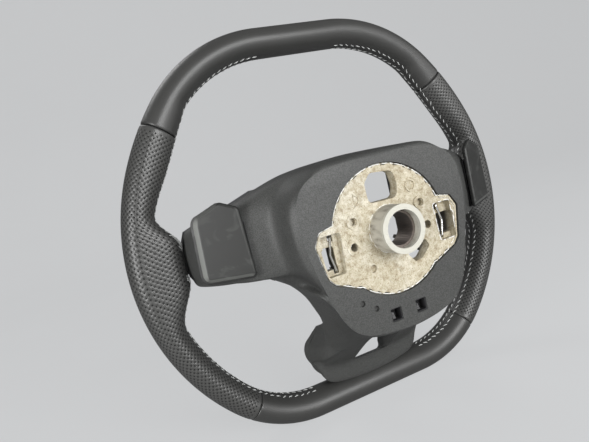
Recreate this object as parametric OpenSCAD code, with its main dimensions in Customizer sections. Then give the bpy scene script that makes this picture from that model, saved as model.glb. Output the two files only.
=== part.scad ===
// Flat-bottomed car steering wheel, without its airbag module.
// Millimetres. The steering axis runs along Y: the driver sits towards -Y and the column is at +Y.
// Z points to the top of the rim, and +X is the driver's right.
// The origin is on the steering axis, at the seat of the column sleeve.
// Depths are given as "back": the distance behind the rim's middle plane, towards the column.

/* [Rim line] */
// Height of the rim's centre line above the steering axis, at the top
rim_top = 170; // [160:0.5:180]
// Half length of the straight stretch at the top
top_flat = 35; // [25:0.5:45]
// Radius of the upper corners
corner_r = 114; // [105:0.5:122]
// Turn of the upper corners, in degrees
corner_turn = 50.5; // [46:0.5:54]
// Radius of the shoulders between upper corner and side
shoulder_r = 235; // [200:1:270]
// Turn of the shoulders, in degrees
shoulder_turn = 13.5; // [10:0.5:17]
// Radius of the sides
side_r = 177.5; // [170:0.5:185]
// Turn of the sides, in degrees
side_turn = 69.5; // [66:0.5:73]
// Radius of the lower corners
lower_corner_r = 93; // [84:0.5:102]

/* [Rim section] */
// Width of the rim across its section, seen from the driver
rim_width = 25; // [23:0.1:28]
// Depth of the rim from front to back
rim_depth = 31.8; // [29:0.1:35]
// Thickness of the leather
leather_t = 1.2; // [1:0.1:1.6]
// Swelling of the rim at the thumbs
thumb_swell = 7; // [0:0.1:8]
// Length of the leather-covered root between rim and side spoke
root_len = 19; // [15:0.5:22]
// Half height of the spoke root along the rim, before its fillets
root_half = 17; // [12:0.5:20]
// Length of the fillets above the root, along the rim
upper_fillet = 27; // [20:0.5:34]
// Length of the fillets below the root, along the rim
lower_fillet = 44; // [30:0.5:50]
// How far the spoke root leans towards the column
root_lean = 2.2; // [0:0.1:4]
// Heading of the upper leather seams, from the top of the rim, in degrees
upper_seam = 55; // [52:0.5:60]
// Heading of the lower leather seams, in degrees
lower_seam = 141.5; // [138:0.5:148]
// Width of the grooves between two leather panels
seam_groove = 0.6; // [0.4:0.1:1]

/* [Column seat] */
// Distance from the rim's middle plane back to the seat of the sleeve
seat_back = 101.5; // [98:0.5:105]
// Radius of the sleeve's bore
bore_r = 12.1; // [11:0.05:12.8]
// Outer radius of the sleeve
sleeve_r = 15.5; // [14.8:0.1:16]
// Length of the sleeve
sleeve_len = 19; // [16:0.5:21]
// Number of grooves in the sleeve
sleeve_grooves = 36; // [24:1:40]
// Depth of the grooves in the sleeve
groove_depth = 0.45; // [0.3:0.05:0.6]
// Length of the smooth land at each end of the sleeve's bore
land_len = 3; // [2:0.5:4]
// Outer radius of the hub's boss
boss_r = 18; // [17.2:0.1:19]
// How far the boss stands behind the sleeve's seat
boss_rise = 7; // [5:0.5:9]
// Radius of the counterbore behind the sleeve
counter_r = 14; // [13.6:0.1:14.4]

/* [Hub casting] */
// Back face of the hub plate, behind the rim's middle plane
plate_back = 87; // [85:0.5:88]
// Thickness of the hub plate
plate_t = 6; // [5:0.1:7]
// Back of the plate's raised face, behind the rim's middle plane
face_back = 90.2; // [89:0.1:91]
// Gap between the raised face and the rear cover
face_gap = 0.9; // [0.6:0.1:1.5]
// Depth of the pockets of the retaining springs, from the raised face
pocket_d = 5.7; // [4:0.1:6.5]
// Radius of the round opening that shows the hub plate
opening_r = 49.5; // [48:0.1:51]
// Width of the hub plate under the rear cover, past the opening
plate_margin = 2; // [1.5:0.1:3]
// Thickness of the casting's side arms
arm_t = 8; // [7:0.1:9]
// Thickness of the casting's lower arms
leg_t = 4.2; // [3.8:0.1:4.6]
// Width of the rim core
core_w = 13; // [12:0.1:14]
// Depth of the rim core
core_d = 14; // [13:0.1:15]
// Wall of the rim core's channel
core_wall = 3.5; // [3:0.1:4]
// Height of the ribs on the front of the hub plate
rib_h = 9; // [6:0.5:11]
// Thickness of those ribs
rib_t = 2.7; // [2.5:0.1:4]
// Radius of the two guide holes for the airbag module
guide_r = 3.1; // [2.8:0.05:3.3]
// Distance between the guide holes
guide_gap = 66; // [64:0.5:68]
// Height of the guide holes above the steering axis
guide_z = -5.5; // [-8:0.1:-4]
// Radius of the wire of the retaining springs
wire_r = 0.9; // [0.7:0.05:1.1]

/* [Rear cover] */
// Back face of the rear cover
cover_back = 92; // [91:0.5:94]
// Wall of the covers
wall = 2.5; // [2.2:0.1:2.8]
// Front edge of the rear cover round the airbag's place
rim_edge_back = 40; // [36:0.5:42]
// Parting plane between rear cover and spoke bezels
parting_back = 8; // [7:0.5:9]
// Gap along the parting lines
parting_gap = 0.5; // [0.4:0.1:0.8]
// Width of the square clip holes
clip_w = 9.8; // [9:0.1:10.4]
// Height of the square clip holes
clip_h = 10.4; // [9.4:0.1:11]
// Distance between the clip holes' centres
clip_gap = 22.8; // [20:0.1:26]
// Height of the clip holes above the steering axis
clip_z = -63.2; // [-65:0.1:-62]
// Half width of the lower spoke's window at its top
window_top = 17; // [14:0.5:17.5]
// Half width of that window at its bottom
window_foot = 19; // [17:0.5:19.5]
// Slope of that window down towards the driver, in degrees
window_tilt = 15; // [0:1:20]
// Radius of the cover's screws
screw_r = 1.9; // [1.5:0.05:2]

/* [Spoke bezels] */
// Front face of the bezels, in front of the rim's middle plane
bezel_front = 8; // [7:0.5:10]
// Half width of the airbag's place, between the bezels
airbag_half = 70; // [68:0.5:72]

/* [Switches] */
// Travel of the push buttons
button_travel = 0.8; // [0.5:0.1:1]
// Clearance round each button
button_gap = 0.35; // [0.3:0.05:0.5]
// How far the buttons stand proud of their housing
button_rise = 1.3; // [1:0.1:1.8]
// Depth of a switch housing
housing_d = 12; // [11:0.5:13]
// Thickness of the circuit boards
board_t = 1.6; // [1.2:0.1:2]

/* [Paddles] */
// Thickness of a shift paddle
paddle_t = 3.4; // [3:0.1:4]
// Slope of the paddle towards the rim, in degrees
paddle_slope = 27.9; // [25:0.1:30]
// Distance of the paddle's inner edge from the steering axis
paddle_x = 103; // [102:0.5:104]
// Back of the paddle's inner edge, behind the rim's middle plane
paddle_back = 69; // [68.5:0.25:70]
// Radius of the paddle's hinge pin
pin_r = 1.5; // [1.2:0.05:1.7]
// Radial running clearance on the hinge pin
pin_run = 0.05; // [0.03:0.01:0.08]
// Outer radius of the paddle's hinge barrel
barrel_r = 3.2; // [2.9:0.1:3.4]
// Length of the hinge barrel
barrel_len = 24; // [20:0.5:26]
// Wall of the paddle's base beside the barrel
ear_t = 3; // [2.5:0.1:3.5]

/* [Hidden] */
$fn = 48;

// Clearance between pieces that are fixed to each other
fit = 0.2;
// Overshoot of a cut past the face that it opens
cut = 1;
// Clearance between the foam and its leather
foam_gap = 0.7;
// Points round one section of the rim
section_n = 16;
// Turn between two sections of the rim, in degrees
station_turn = 6.5;
// Turn between two sections at a spoke root, in degrees
root_turn = 3.4;

RIGHT = 1;
LEFT = -1;

// Flat geometry

function unit(v) = v / norm(v);
function reversed(list) = [for (i = [len(list) - 1 : -1 : 0]) list[i]];
function between(a, b, t) = a + (b - a) * t;
function smooth(t) = let (s = min(max(t, 0), 1)) s * s * (3 - 2 * s);

// Points of the arc that rounds the corner b between a and c
function corner(a, b, c, r, n) =
    let (
        u = unit(a - b),
        v = unit(c - b),
        straight = norm(u + v) < 0.05,
        half = acos(u * v) / 2,
        centre = straight ? b : b + unit(u + v) * r / sin(half),
        from = b + u * r / tan(half) - centre,
        to = b + v * r / tan(half) - centre,
        start = atan2(from[1], from[0]),
        turn = (atan2(to[1], to[0]) - start + 540) % 360 - 180
    )
    straight ? [b] : [for (i = [0 : n]) centre + r * [cos(start + turn * i / n), sin(start + turn * i / n)]];

// A polygon with all its corners rounded
function rounded(points, r, n = 4) =
    let (m = len(points))
    [for (i = [0 : m - 1]) each corner(points[(i + m - 1) % m], points[i], points[(i + 1) % m], r, n)];

// A polygon whose points run anticlockwise, with each side moved outwards by d
function grown(points, d) =
    let (m = len(points))
    [for (i = [0 : m - 1])
        let (
            e = unit(points[i] - points[(i + m - 1) % m]),
            f = unit(points[(i + 1) % m] - points[i]),
            p = [e[1], -e[0]],
            q = [f[1], -f[0]]
        )
        points[i] + (p + q) * d / (1 + p * q)];

// A line of points with a parallel line at distance t on its right, closed to a band
function band(points, t) =
    let (
        last = len(points) - 1,
        side = [for (i = [0 : last])
            let (
                e = unit(points[max(i, 1)] - points[max(i, 1) - 1]),
                f = unit(points[min(i + 1, last)] - points[min(i, last - 1)]),
                p = [e[1], -e[0]],
                q = [f[1], -f[0]]
            )
            points[i] + (p + q) * t / (1 + p * q)]
    )
    concat(points, reversed(side));

// Placing: flat shapes are drawn seen from the driver, and pushed back

// Extrudes an outline of [x, z] points from one depth to another
module slab(from, to) {
    translate([0, to - seat_back, 0]) rotate([90, 0, 0]) linear_extrude(to - from) children();
}

// Extrudes a profile of [x, back] points from one height to another
module upright(from, to) {
    translate([0, -seat_back, from]) linear_extrude(to - from) children();
}

// Extrudes a profile of [back, z] points along X
module across(from, to) {
    translate([from, -seat_back, 0]) rotate([90, 0, 90]) linear_extrude(to - from) children();
}

// Turns an axis along Z so that it points to the column
module axial(x, back, z) {
    translate([x, back - seat_back, z]) rotate([-90, 0, 0]) children();
}

module on_side(side) {
    if (side == RIGHT) children();
    else mirror([1, 0, 0]) children();
}

module both_sides() {
    children();
    mirror([1, 0, 0]) children();
}

// Joins rings of points to a skin, closed by flat ends or into a loop
module skin(rings, loop = false) {
    n = len(rings[0]);
    m = len(rings);
    sides = [
        for (i = [0 : loop ? m - 1 : m - 2], j = [0 : n - 1])
            let (
                a = i * n + j,
                b = i * n + (j + 1) % n,
                c = ((i + 1) % m) * n + (j + 1) % n,
                d = ((i + 1) % m) * n + j
            )
            each [[a, b, c], [a, c, d]]
    ];
    ends = loop ? [] : [[for (j = [n - 1 : -1 : 0]) j], [for (j = [0 : n - 1]) (m - 1) * n + j]];
    polyhedron([for (r = rings) each r], concat(sides, ends), convexity = 10);
}

// The rim's line: headings run from 0 at the top to 180 at the bottom

radii = [corner_r, shoulder_r, side_r, lower_corner_r];
turns = [corner_turn, shoulder_turn, side_turn, 180 - corner_turn - shoulder_turn - side_turn];
function arc_heading(k) = k == 0 ? 0 : arc_heading(k - 1) + turns[k - 1];
function normal(h) = [sin(h), cos(h)];
function arc_start(k) =
    k == 0 ? [top_flat, rim_top]
           : arc_start(k - 1) + radii[k - 1] * (normal(arc_heading(k)) - normal(arc_heading(k - 1)));
function arc_of(h) = h < arc_heading(1) ? 0 : h < arc_heading(2) ? 1 : h < arc_heading(3) ? 2 : 3;
function rim_at(h) = let (k = arc_of(h)) arc_start(k) + radii[k] * (normal(h) - normal(arc_heading(k)));

rim_foot = rim_at(180);
spoke_z = 9;
spoke_heading = acos((spoke_z - arc_start(2)[1]) / side_r + cos(arc_heading(2)));
spoke_rim_x = rim_at(spoke_heading)[0];
arm_tip = spoke_rim_x - rim_width / 2 - root_len - 1;
leg_tip = rim_foot[1] + rim_width / 2 - 1.2;

// The rim's section

// How far along its stretch of rim a heading lies from the spoke's middle, in mm
function from_spoke(h) = abs(h - spoke_heading) * PI / 180 * side_r;
function root_share(h) =
    1 - smooth((from_spoke(h) - root_half) / (h < spoke_heading ? upper_fillet : lower_fillet));
// The thumb swelling sits just below the upper seams
function thumb_share(h) = 1 - smooth(abs(h - upper_seam - 5) / 17);

// One section, as points in space, with the surface moved inwards by inset
function rim_ring(x, z, h, inset) =
    let (
        n = section_n,
        root = root_share(abs(h)),
        outer = rim_width / 2 - inset,
        inner = outer + root_len * root,
        thumb = thumb_swell * thumb_share(abs(h)),
        half_depth = rim_depth / 2 - inset,
        power = 2 / (2 + 1.6 * root)
    )
    [for (j = [0 : n - 1])
        let (
            c = cos(360 * j / n),
            s = sin(360 * j / n),
            out = c >= 0 ? outer * c : -inner * pow(-c, power) + thumb * c * (0.7 + 0.3 * s),
            back = c >= 0 ? half_depth * s
                          : half_depth * sign(s) * pow(abs(s), power) - root_lean * root * c
        )
        [x + out * sin(h), back - seat_back, z + out * cos(h)]];

function side_headings(from, to) =
    let (
        low = spoke_heading - (root_half + upper_fillet) * 180 / PI / side_r,
        high = spoke_heading + (root_half + lower_fillet) * 180 / PI / side_r,
        a = ceil((low - from) / station_turn),
        b = ceil((high - low) / root_turn),
        c = ceil((to - high) / station_turn)
    )
    concat(
        [for (i = [0 : a - 1]) between(from, low, i / a)],
        [for (i = [0 : b - 1]) between(low, high, i / b)],
        [for (i = [0 : c]) between(high, to, i / c)]
    );
function even_headings(from, to) =
    let (a = ceil((to - from) / station_turn / 1.3)) [for (i = [0 : a]) between(from, to, i / a)];

// Sections from one heading to another, on one side
function run(headings, side, inset) =
    [for (h = headings) let (p = rim_at(h)) rim_ring(side * p[0], p[1], side * h, inset)];
// The same sections, mirrored, from far to near, then near to far
function across_top(headings, inset) =
    concat(run(reversed(headings), LEFT, inset), run(headings, RIGHT, inset));
function across_foot(headings, inset) =
    concat(run(headings, RIGHT, inset), run(reversed(headings), LEFT, inset));

groove_turn = seam_groove / 2 / side_r * 180 / PI;
top_headings = even_headings(0, upper_seam - groove_turn);
grip_headings = side_headings(upper_seam + groove_turn, lower_seam - groove_turn);
foot_headings = even_headings(lower_seam + groove_turn, 180);

module leather(outer, inner) {
    skin(concat(outer, reversed(inner)), loop = true);
}

module leather_top() {
    color([0.11, 0.11, 0.115]) leather(across_top(top_headings, 0), across_top(top_headings, leather_t));
}

module leather_bottom() {
    color([0.11, 0.11, 0.115]) difference() {
        leather(across_foot(foot_headings, 0), across_foot(foot_headings, leather_t));
        both_sides() lower_arm(fit);
    }
}

module grip(side) {
    color([0.13, 0.13, 0.135]) on_side(side) difference() {
        leather(run(grip_headings, RIGHT, 0), run(grip_headings, RIGHT, leather_t));
        side_arm(fit);
    }
}

module rim_foam() {
    sections = concat(
        across_top(top_headings, leather_t + foam_gap),
        run([for (i = [1 : len(grip_headings) - 2]) grip_headings[i]], RIGHT, leather_t + foam_gap),
        across_foot(foot_headings, leather_t + foam_gap),
        run(reversed([for (i = [1 : len(grip_headings) - 2]) grip_headings[i]]), LEFT, leather_t + foam_gap)
    );
    color([0.25, 0.25, 0.26]) difference() {
        skin(sections, loop = true);
        core_ring(fit / 2);
        both_sides() side_arm(fit / 2);
        both_sides() lower_arm(fit / 2);
    }
}

// Rim core: a channel that opens to the front

core_headings = [for (i = [0 : 44]) i * 4];

// The rim's line moved outwards by d, as one closed outline
function rim_outline(d) =
    let (half = [for (h = concat(core_headings, [180])) rim_at(h) + d * normal(h)])
    concat(half, [for (p = reversed(half)) [-p[0], p[1]]]);

module rim_band(half_w) {
    difference() {
        polygon(rim_outline(half_w));
        polygon(rim_outline(-half_w));
    }
}

module core_ring(gap) {
    difference() {
        slab(-core_d / 2 - gap, core_d / 2 + gap) rim_band(core_w / 2 + gap);
        slab(-core_d / 2 - cut, core_d / 2 - core_wall - gap) rim_band(core_w / 2 - core_wall - gap);
    }
}

// Hub casting

// One lobe of the hub opening, where a retaining spring sits
lobe = [[20, -38], [36, -36], [55, -27.5], [59.5, -22], [64, 3], [58.5, 12.5], [46, 15], [20, 22]];

module hub_outline(gap) {
    circle(r = opening_r + gap, $fn = 96);
    both_sides() polygon(rounded(grown(lobe, gap), 3));
}

// Back face of the flat on a side arm that carries the paddle's base
seat_of_base = 39;

module side_arm(gap) {
    line = [[30, plate_back - 1], [58, plate_back - 1], [65, 76], [72, 57], [84, 45], [98, seat_of_base],
            [115, seat_of_base], [arm_tip - 8, 8], [arm_tip + 4, 4], [spoke_rim_x, 4]];
    plan = [[30, -30], [60, -24], [75, -13], [90, -10], [113, -9], [119, -2], [spoke_rim_x, -3],
            [spoke_rim_x, 21], [119, 22], [113, 33], [90, 34], [60, 34], [30, 30]];
    intersection() {
        upright(-60, 60) polygon(grown(reversed(band(line, arm_t)), gap));
        slab(-20, 100) polygon(grown(plan, gap));
    }
}

module lower_arm(gap) {
    line = [[plate_back - leg_t, -28], [plate_back - leg_t, -54], [73, -62], [55, -69], [40, -82],
            [27, -93.5], [5, -111], [2, -119], [2, rim_foot[1]]];
    plan = [[12, -28], [22, -60], [23, -88], [24, -118], [22, rim_foot[1]],
            [34, rim_foot[1]], [36, -118], [38, -88], [38, -60], [36, -28]];
    intersection() {
        across(-60, 60) polygon(grown(band(line, -leg_t), gap));
        slab(-20, 100) polygon(grown(plan, gap));
    }
}

// Window for the cable, above the boss
top_window = [[-11.5, 21.5], [13.3, 21.8], [13.5, 37.5], [7.5, 43.8], [-12, 42], [-14, 31]];
// Window in each lobe, through which the airbag's hook latches
hook_window = [[47, -17.5], [58, -17.5], [59.4, -0.5], [47, -0.5]];
// Slot beside the boss
boss_slot = [[-9.5, -21.5], [-16, -30.5], [-23, -29.2], [-31.5, -21.8], [-28.5, -15.5], [-20, -19]];
// Small holes where a retaining spring's ends pass through the plate
wire_top = [48, 5.2];
wire_foot = [48.5, -18.2];
wire_hole = [4, 5];
// Pocket of a retaining spring in the raised face
pocket = [[43, -21.5], [58, -21.5], [58, 8.5], [41.5, 8.5]];
pocket_back = face_back - pocket_d;

// Screws that hold the rear cover
screw_places = [[43, 36], [-43, 36], [47, -44], [-47, -44]];
lug_r = 6;
lug_half = 5;
lug_back = 80;
lug_reach = 18;

module ring_mark(x, z, outer, inner, h) {
    axial(x, face_back - cut, z) difference() {
        cylinder(r = outer, h = h + cut);
        translate([0, 0, -cut]) cylinder(r = inner, h = h + 3 * cut);
    }
}

module hub_ribs() {
    for (a = [38, 142, 218, 322]) axial(0, plate_back - plate_t - rib_h, 0)
        rotate([0, 0, a]) translate([boss_r - 2, -rib_t / 2, 0])
            cube([opening_r - boss_r, rib_t, rib_h + cut]);
    axial(0, plate_back - plate_t - rib_h, 0) difference() {
        cylinder(r = opening_r, h = rib_h + cut, $fn = 96);
        translate([0, 0, -cut]) cylinder(r = opening_r - rib_t, h = rib_h + 3 * cut, $fn = 96);
    }
}

module hub_plate() {
    slab(plate_back - plate_t, plate_back) hub_outline(plate_margin);
    slab(plate_back - cut, face_back) hub_outline(-face_gap);
    // Boss for the sleeve
    sleeve_foot = seat_back - sleeve_len - 2;
    axial(0, sleeve_foot, 0) cylinder(r = boss_r, h = seat_back + boss_rise - sleeve_foot);
    hub_ribs();
    // Casting marks and raised seats on the back face
    both_sides() ring_mark(25, 27.3, 4.8, 3.4, 1);
    ring_mark(33.9, 1.9, 3, 2.2, 0.5);
    ring_mark(4.5, -35, 6.2, 5.4, 0.4);
    both_sides() ring_mark(guide_gap / 2, guide_z, guide_r + 2.9, guide_r - 0.5, 0.8);
    both_sides() ring_mark(30, 12.7, 5.2, 3.2, 1.2);
    // Raised edge along each lobe
    both_sides() intersection() {
        slab(face_back - cut, face_back + 0.8) difference() {
            hub_outline(-face_gap - 0.2);
            hub_outline(-face_gap - 1.6);
        }
        translate([opening_r - 1, -seat_back, -40]) cube([30, 200, 80]);
    }
    // Lugs for the cover's screws
    for (p = screw_places) axial(p[0], lug_back - 6, p[1]) cylinder(r = lug_r, h = 6);
    for (p = screw_places) {
        slab(lug_back - 6, lug_back) rotate(atan2(p[1], p[0]))
            translate([norm(p) - lug_reach, -lug_half]) square([lug_reach, 2 * lug_half]);
    }
}

module hub_cuts() {
    // Seat of the sleeve and the counterbore behind it
    axial(0, seat_back - sleeve_len - 2 - cut, 0) cylinder(r = bore_r + 1, h = boss_r + sleeve_len);
    axial(0, seat_back - sleeve_len, 0) cylinder(r = sleeve_r, h = sleeve_len);
    axial(0, seat_back - cut / 2, 0) cylinder(r = counter_r, h = boss_rise + 2 * cut);
    slab(plate_back - 40, plate_back + 10) polygon(rounded(top_window, 4.5));
    slab(plate_back - 40, plate_back + 5) polygon(rounded(boss_slot, 2));
    both_sides() {
        slab(plate_back - 40, plate_back + 5) polygon(rounded(hook_window, 1.5));
        for (p = [wire_top, wire_foot])
            slab(plate_back - 40, plate_back + 5) translate(p - wire_hole / 2) square(wire_hole);
        slab(pocket_back, plate_back + 5) polygon(rounded(pocket, 2));
        axial(guide_gap / 2, plate_back - 40, guide_z) cylinder(r = guide_r, h = 60);
        axial(30, face_back - 3, 12.7) cylinder(r = 2.6, h = 10);
        for (z = base_screw_z) axial(base_screw_x, seat_of_base - base_screw_len, z)
            cylinder(r = base_screw_r + fit / 4, h = base_screw_len + cut);
    }
    axial(21.1, face_back - 2.5, -25) cylinder(r = 3, h = 10);
    axial(25, face_back - 0.4, 27.3) translate([0, -6, 0]) cube([6, 12, 3]);
    for (p = screw_places) axial(p[0], lug_back - 20, p[1]) cylinder(r = screw_r + 0.4, h = 30);
}

module armature() {
    color([0.86, 0.82, 0.7]) difference() {
        union() {
            difference() {
                union() {
                    hub_plate();
                    both_sides() side_arm(0);
                    both_sides() lower_arm(0);
                }
                hub_cuts();
            }
            core_ring(0);
        }
    }
}

module column_sleeve() {
    pitch = 360 / sleeve_grooves;
    half_w = bore_r * sin(pitch / 10);
    color([0.33, 0.3, 0.28]) difference() {
        axial(0, seat_back - sleeve_len + fit / 4, 0) cylinder(r = sleeve_r - fit / 4, h = sleeve_len - fit / 2);
        axial(0, seat_back - sleeve_len - cut, 0) cylinder(r = bore_r, h = sleeve_len + 2 * cut);
        axial(0, seat_back - sleeve_len + land_len, 0) linear_extrude(sleeve_len - 2 * land_len)
            for (i = [0 : sleeve_grooves - 1]) rotate((i + 0.5) * pitch)
                polygon([[bore_r - 0.4, -half_w], [bore_r + groove_depth, 0], [bore_r - 0.4, half_w]]);
    }
}

// Retaining spring: a wire along the lobe, its ends hooked through the plate
spring_hook = 2.4;
spring_bend = 1.5;
spring_bow = 51;

module airbag_spring(side) {
    top = wire_top + [0, 0.8];
    foot = wire_foot - [0, 0.8];
    middle = (top[1] + foot[1]) / 2;
    back = pocket_back + wire_r + 0.1;
    front = plate_back - plate_t - 4;
    // The wire's line as [back, z]
    corners = [[front, top[1] - spring_hook], [front, top[1]], [back, top[1]],
               [back, foot[1]], [front, foot[1]], [front, foot[1] + spring_hook]];
    rounding = [for (i = [1 : 4]) each corner(corners[i - 1], corners[i], corners[i + 1], spring_bend / 2, 3)];
    half = len(rounding) / 2;
    line = concat([corners[0]], [for (i = [0 : half - 1]) rounding[i]], [[back, middle]],
                  [for (i = [half : len(rounding) - 1]) rounding[i]], [corners[5]]);
    last = len(line) - 1;
    bow = [[foot[1], foot[0]], [middle, spring_bow], [top[1], top[0]]];
    color([0.8, 0.8, 0.78]) on_side(side) skin([for (i = [0 : last])
        let (
            p = line[i],
            t = unit(line[min(i + 1, last)] - line[max(i - 1, 0)]),
            x = lookup(p[1], bow)
        )
        [for (a = [0 : 45 : 315]) [
            x + wire_r * sin(a),
            p[0] - seat_back + wire_r * cos(a) * t[1],
            p[1] - wire_r * cos(a) * t[0]]]]);
}

// Rear cover: a stack of outlines, from the flat back face to the parting plane.
// Both outlines run from the top down the right side, point for point.

face_line = [
    [0, 55], [27, 55.5], [47, 53.5], [58, 49.5], [65.5, 43.5], [70, 35], [71.8, 25], [72, 15], [71, 5],
    [69.5, -4], [68, -12], [66.3, -19], [64.5, -26], [62.5, -33], [60.5, -40], [58, -47], [55, -54],
    [51, -60.5], [46, -66], [39.5, -70], [32, -72.5], [24, -74], [16, -75], [8, -75.7], [0, -76]
];
middle_line = [
    [0, 61.5], [30, 60.3], [47, 59], [63, 56.6], [83, 51], [104, 43.5], [115, 36], [120, 26], [122, 9],
    [120, -5], [115, -12.5], [104, -14], [90, -16], [79, -22], [70, -29], [60.5, -41], [54.5, -55],
    [52, -66], [52, -74], [52, -81], [50, -87], [44, -91.5], [34, -94], [18, -95], [0, -95]
];
base_line = [
    [0, 60], [30, 59.5], [46, 57.5], [66, 52], [89, 44.5], [arm_tip - 26, 38.5], [arm_tip - 5, 31],
    [arm_tip - 1, 22], [arm_tip, 8], [arm_tip - 1.2, -6], [arm_tip - 6, -14.5], [arm_tip - 22, -16],
    [90, -18], [78, -24], [67, -31], [56.5, -43], [49, -57], [45, -68], [45.5, -76], [51.5, -83.5],
    [57.5, -92], [57.5, -104], [52, -116.5], [41, leg_tip + 4.5], [0, leg_tip]
];
arm_from = 3;
arm_to = 13;
leg_from = 17;
foot_from = 22;

// Depths of the three outlines, in front of the cover's back face
middle_depth = 47;
cover_depth = cover_back - parting_back;

// How far each part of the outline has grown from face to middle, at each depth
flank_growth = [[0, 0], [0.8, 0.3], [3.5, 0.6], [8, 0.8], [22, 0.92], [middle_depth, 1]];
arm_growth = [[0, 0], [3.5, 0.08], [8, 0.12], [16, 0.18], [22, 0.26], [25.5, 0.4], [28, 0.56],
              [31, 0.7], [37, 0.86], [middle_depth, 1]];
arm_height_growth = [[0, 0], [8, 0.4], [22, 0.75], [31, 0.92], [middle_depth, 1]];
leg_growth = [[0, 0], [3.5, 0.12], [16, 0.28], [28, 0.46], [37, 0.68], [middle_depth, 1]];
leg_width_growth = [[0, 0], [16, 0.3], [37, 0.8], [middle_depth, 1]];
// And from middle to base
tip_growth = [[middle_depth, 0], [59, 0.42], [72, 0.76], [80, 0.93], [cover_depth, 1]];
wing_growth = [[middle_depth, 0], [53, 0.45], [59, 0.7], [68, 0.9], [78.5, 1]];
foot_growth = [[middle_depth, 0], [59, 0.22], [68, 0.39], [76, 0.53], [78.5, 0.6], [79, 0.96],
               [80, 1.02], [81, 1.035], [cover_depth, 1]];

function grow_x(i, depth) =
    i >= arm_from && i <= arm_to ? lookup(depth, arm_growth)
    : i >= leg_from ? lookup(depth, leg_width_growth) : lookup(depth, flank_growth);
function grow_z(i, depth) =
    i >= leg_from ? lookup(depth, leg_growth)
    : i >= arm_from && i <= arm_to ? lookup(depth, arm_height_growth) : lookup(depth, flank_growth);
function past_middle(i, depth) =
    i < leg_from ? lookup(depth, tip_growth) * [1, 1]
    : [lookup(depth, wing_growth), lookup(depth, i < foot_from ? wing_growth : foot_growth)];

// Outline of the cover at a depth in front of its back face, down its right side
function cover_line(depth) = [for (i = [0 : len(face_line) - 1])
    depth <= middle_depth
        ? [between(face_line[i][0], middle_line[i][0], grow_x(i, depth)),
           between(face_line[i][1], middle_line[i][1], grow_z(i, depth))]
        : let (share = past_middle(i, depth))
          [between(middle_line[i][0], base_line[i][0], share[0]),
           between(middle_line[i][1], base_line[i][1], share[1])]];
// The right side and its mirror image, anticlockwise seen from the driver
function whole(half) = reversed(concat(half, reversed([for (i = [1 : len(half) - 2]) [-half[i][0], half[i][1]]])));
function ring_at(outline, back) = [for (p = outline) [p[0], back - seat_back, p[1]]];

outer_depths = [0, 0.8, 3.5, 8, 16, 22, 25.5, 28, 31, 37, middle_depth, 59, 68, 78.5, 79, 81, cover_depth];
inner_depths = [0, 6, 16, 24, 29, 36, middle_depth, 59, 68, 78.5, 79.2, cover_depth + cut];

function outer_rings() = [for (d = reversed(outer_depths)) ring_at(whole(cover_line(d)), cover_back - d)];
function inner_rings() = [for (d = reversed(inner_depths))
    ring_at(grown(whole(cover_line(d)), -wall), cover_back - d - wall)];

// Parting line of the lower spoke, as [back, z]: it drops from the airbag's place to the rim
foot_parting = [[rim_edge_back, 90], [rim_edge_back, -66], [18, -76], [15, -90], [parting_back, -114],
                [parting_back, -150]];
// Everything in front of the parting line, between the side spokes
module airbag_place() {
    across(-airbag_half, airbag_half) polygon(concat(foot_parting, [[-60, -150], [-60, 90]]));
}

window_z = [-84, -118.5];
// Depth about which the window is tilted: the outer face of the spoke's foot
window_hinge = 13;
function window_line(gap) = grown([[-window_foot, window_z[1]], [window_foot, window_z[1]],
                                   [window_top, window_z[0]], [-window_top, window_z[0]]], gap);

// A block along the window, tilted down towards the driver
module window_block(from, to) {
    translate([0, window_hinge - seat_back, window_z[1]]) rotate([window_tilt, 0, 0])
        translate([0, seat_back - window_hinge, -window_z[1]]) slab(from, to) children();
}

module window_tube() {
    intersection() {
        window_block(-14, 68) difference() {
            polygon(rounded(window_line(wall), 4));
            polygon(rounded(window_line(0), 3));
        }
        // The tube ends just behind the lower trim's face
        across(-30, 30) polygon([[70, -60], [70, -150], [-7, -150], [-7, -121], [-2, -110], [4, -98], [11, -86],
                                 [16, -70]]);
    }
}

module rear_cover() {
    color([0.2, 0.2, 0.205]) difference() {
        skin(outer_rings());
        difference() {
            union() {
                skin(inner_rings());
                airbag_place();
            }
            window_tube();
            for (p = screw_places)
                axial(p[0], lug_back + fit, p[1]) cylinder(r = lug_r - 1.5, h = cover_back - lug_back);
        }
        slab(cover_back - 10, cover_back + cut) hub_outline(0);
        window_block(-16, 70) polygon(rounded(window_line(0), 3));
        for (x = [-clip_gap / 2, clip_gap / 2])
            slab(cover_back - 8, cover_back + cut)
                translate([x - clip_w / 2, clip_z - clip_h / 2]) square([clip_w, clip_h]);
        // Two blind holes
        axial(37.6, cover_back - 1.5, -46.7) cylinder(r = 2.3, h = 5);
        axial(27.3, cover_back - 1.5, -53.6) cylinder(r = 2.3, h = 5);
        for (p = screw_places) axial(p[0], lug_back - cut, p[1]) cylinder(r = screw_r + fit / 4, h = 9.5 + cut);
        // Slots for the paddle bases and notches for the casting's arms
        both_sides() {
            slab(30, 80) polygon(grown(base_plan, fit));
            side_arm(fit);
            lower_arm(fit);
        }
    }
}

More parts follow.
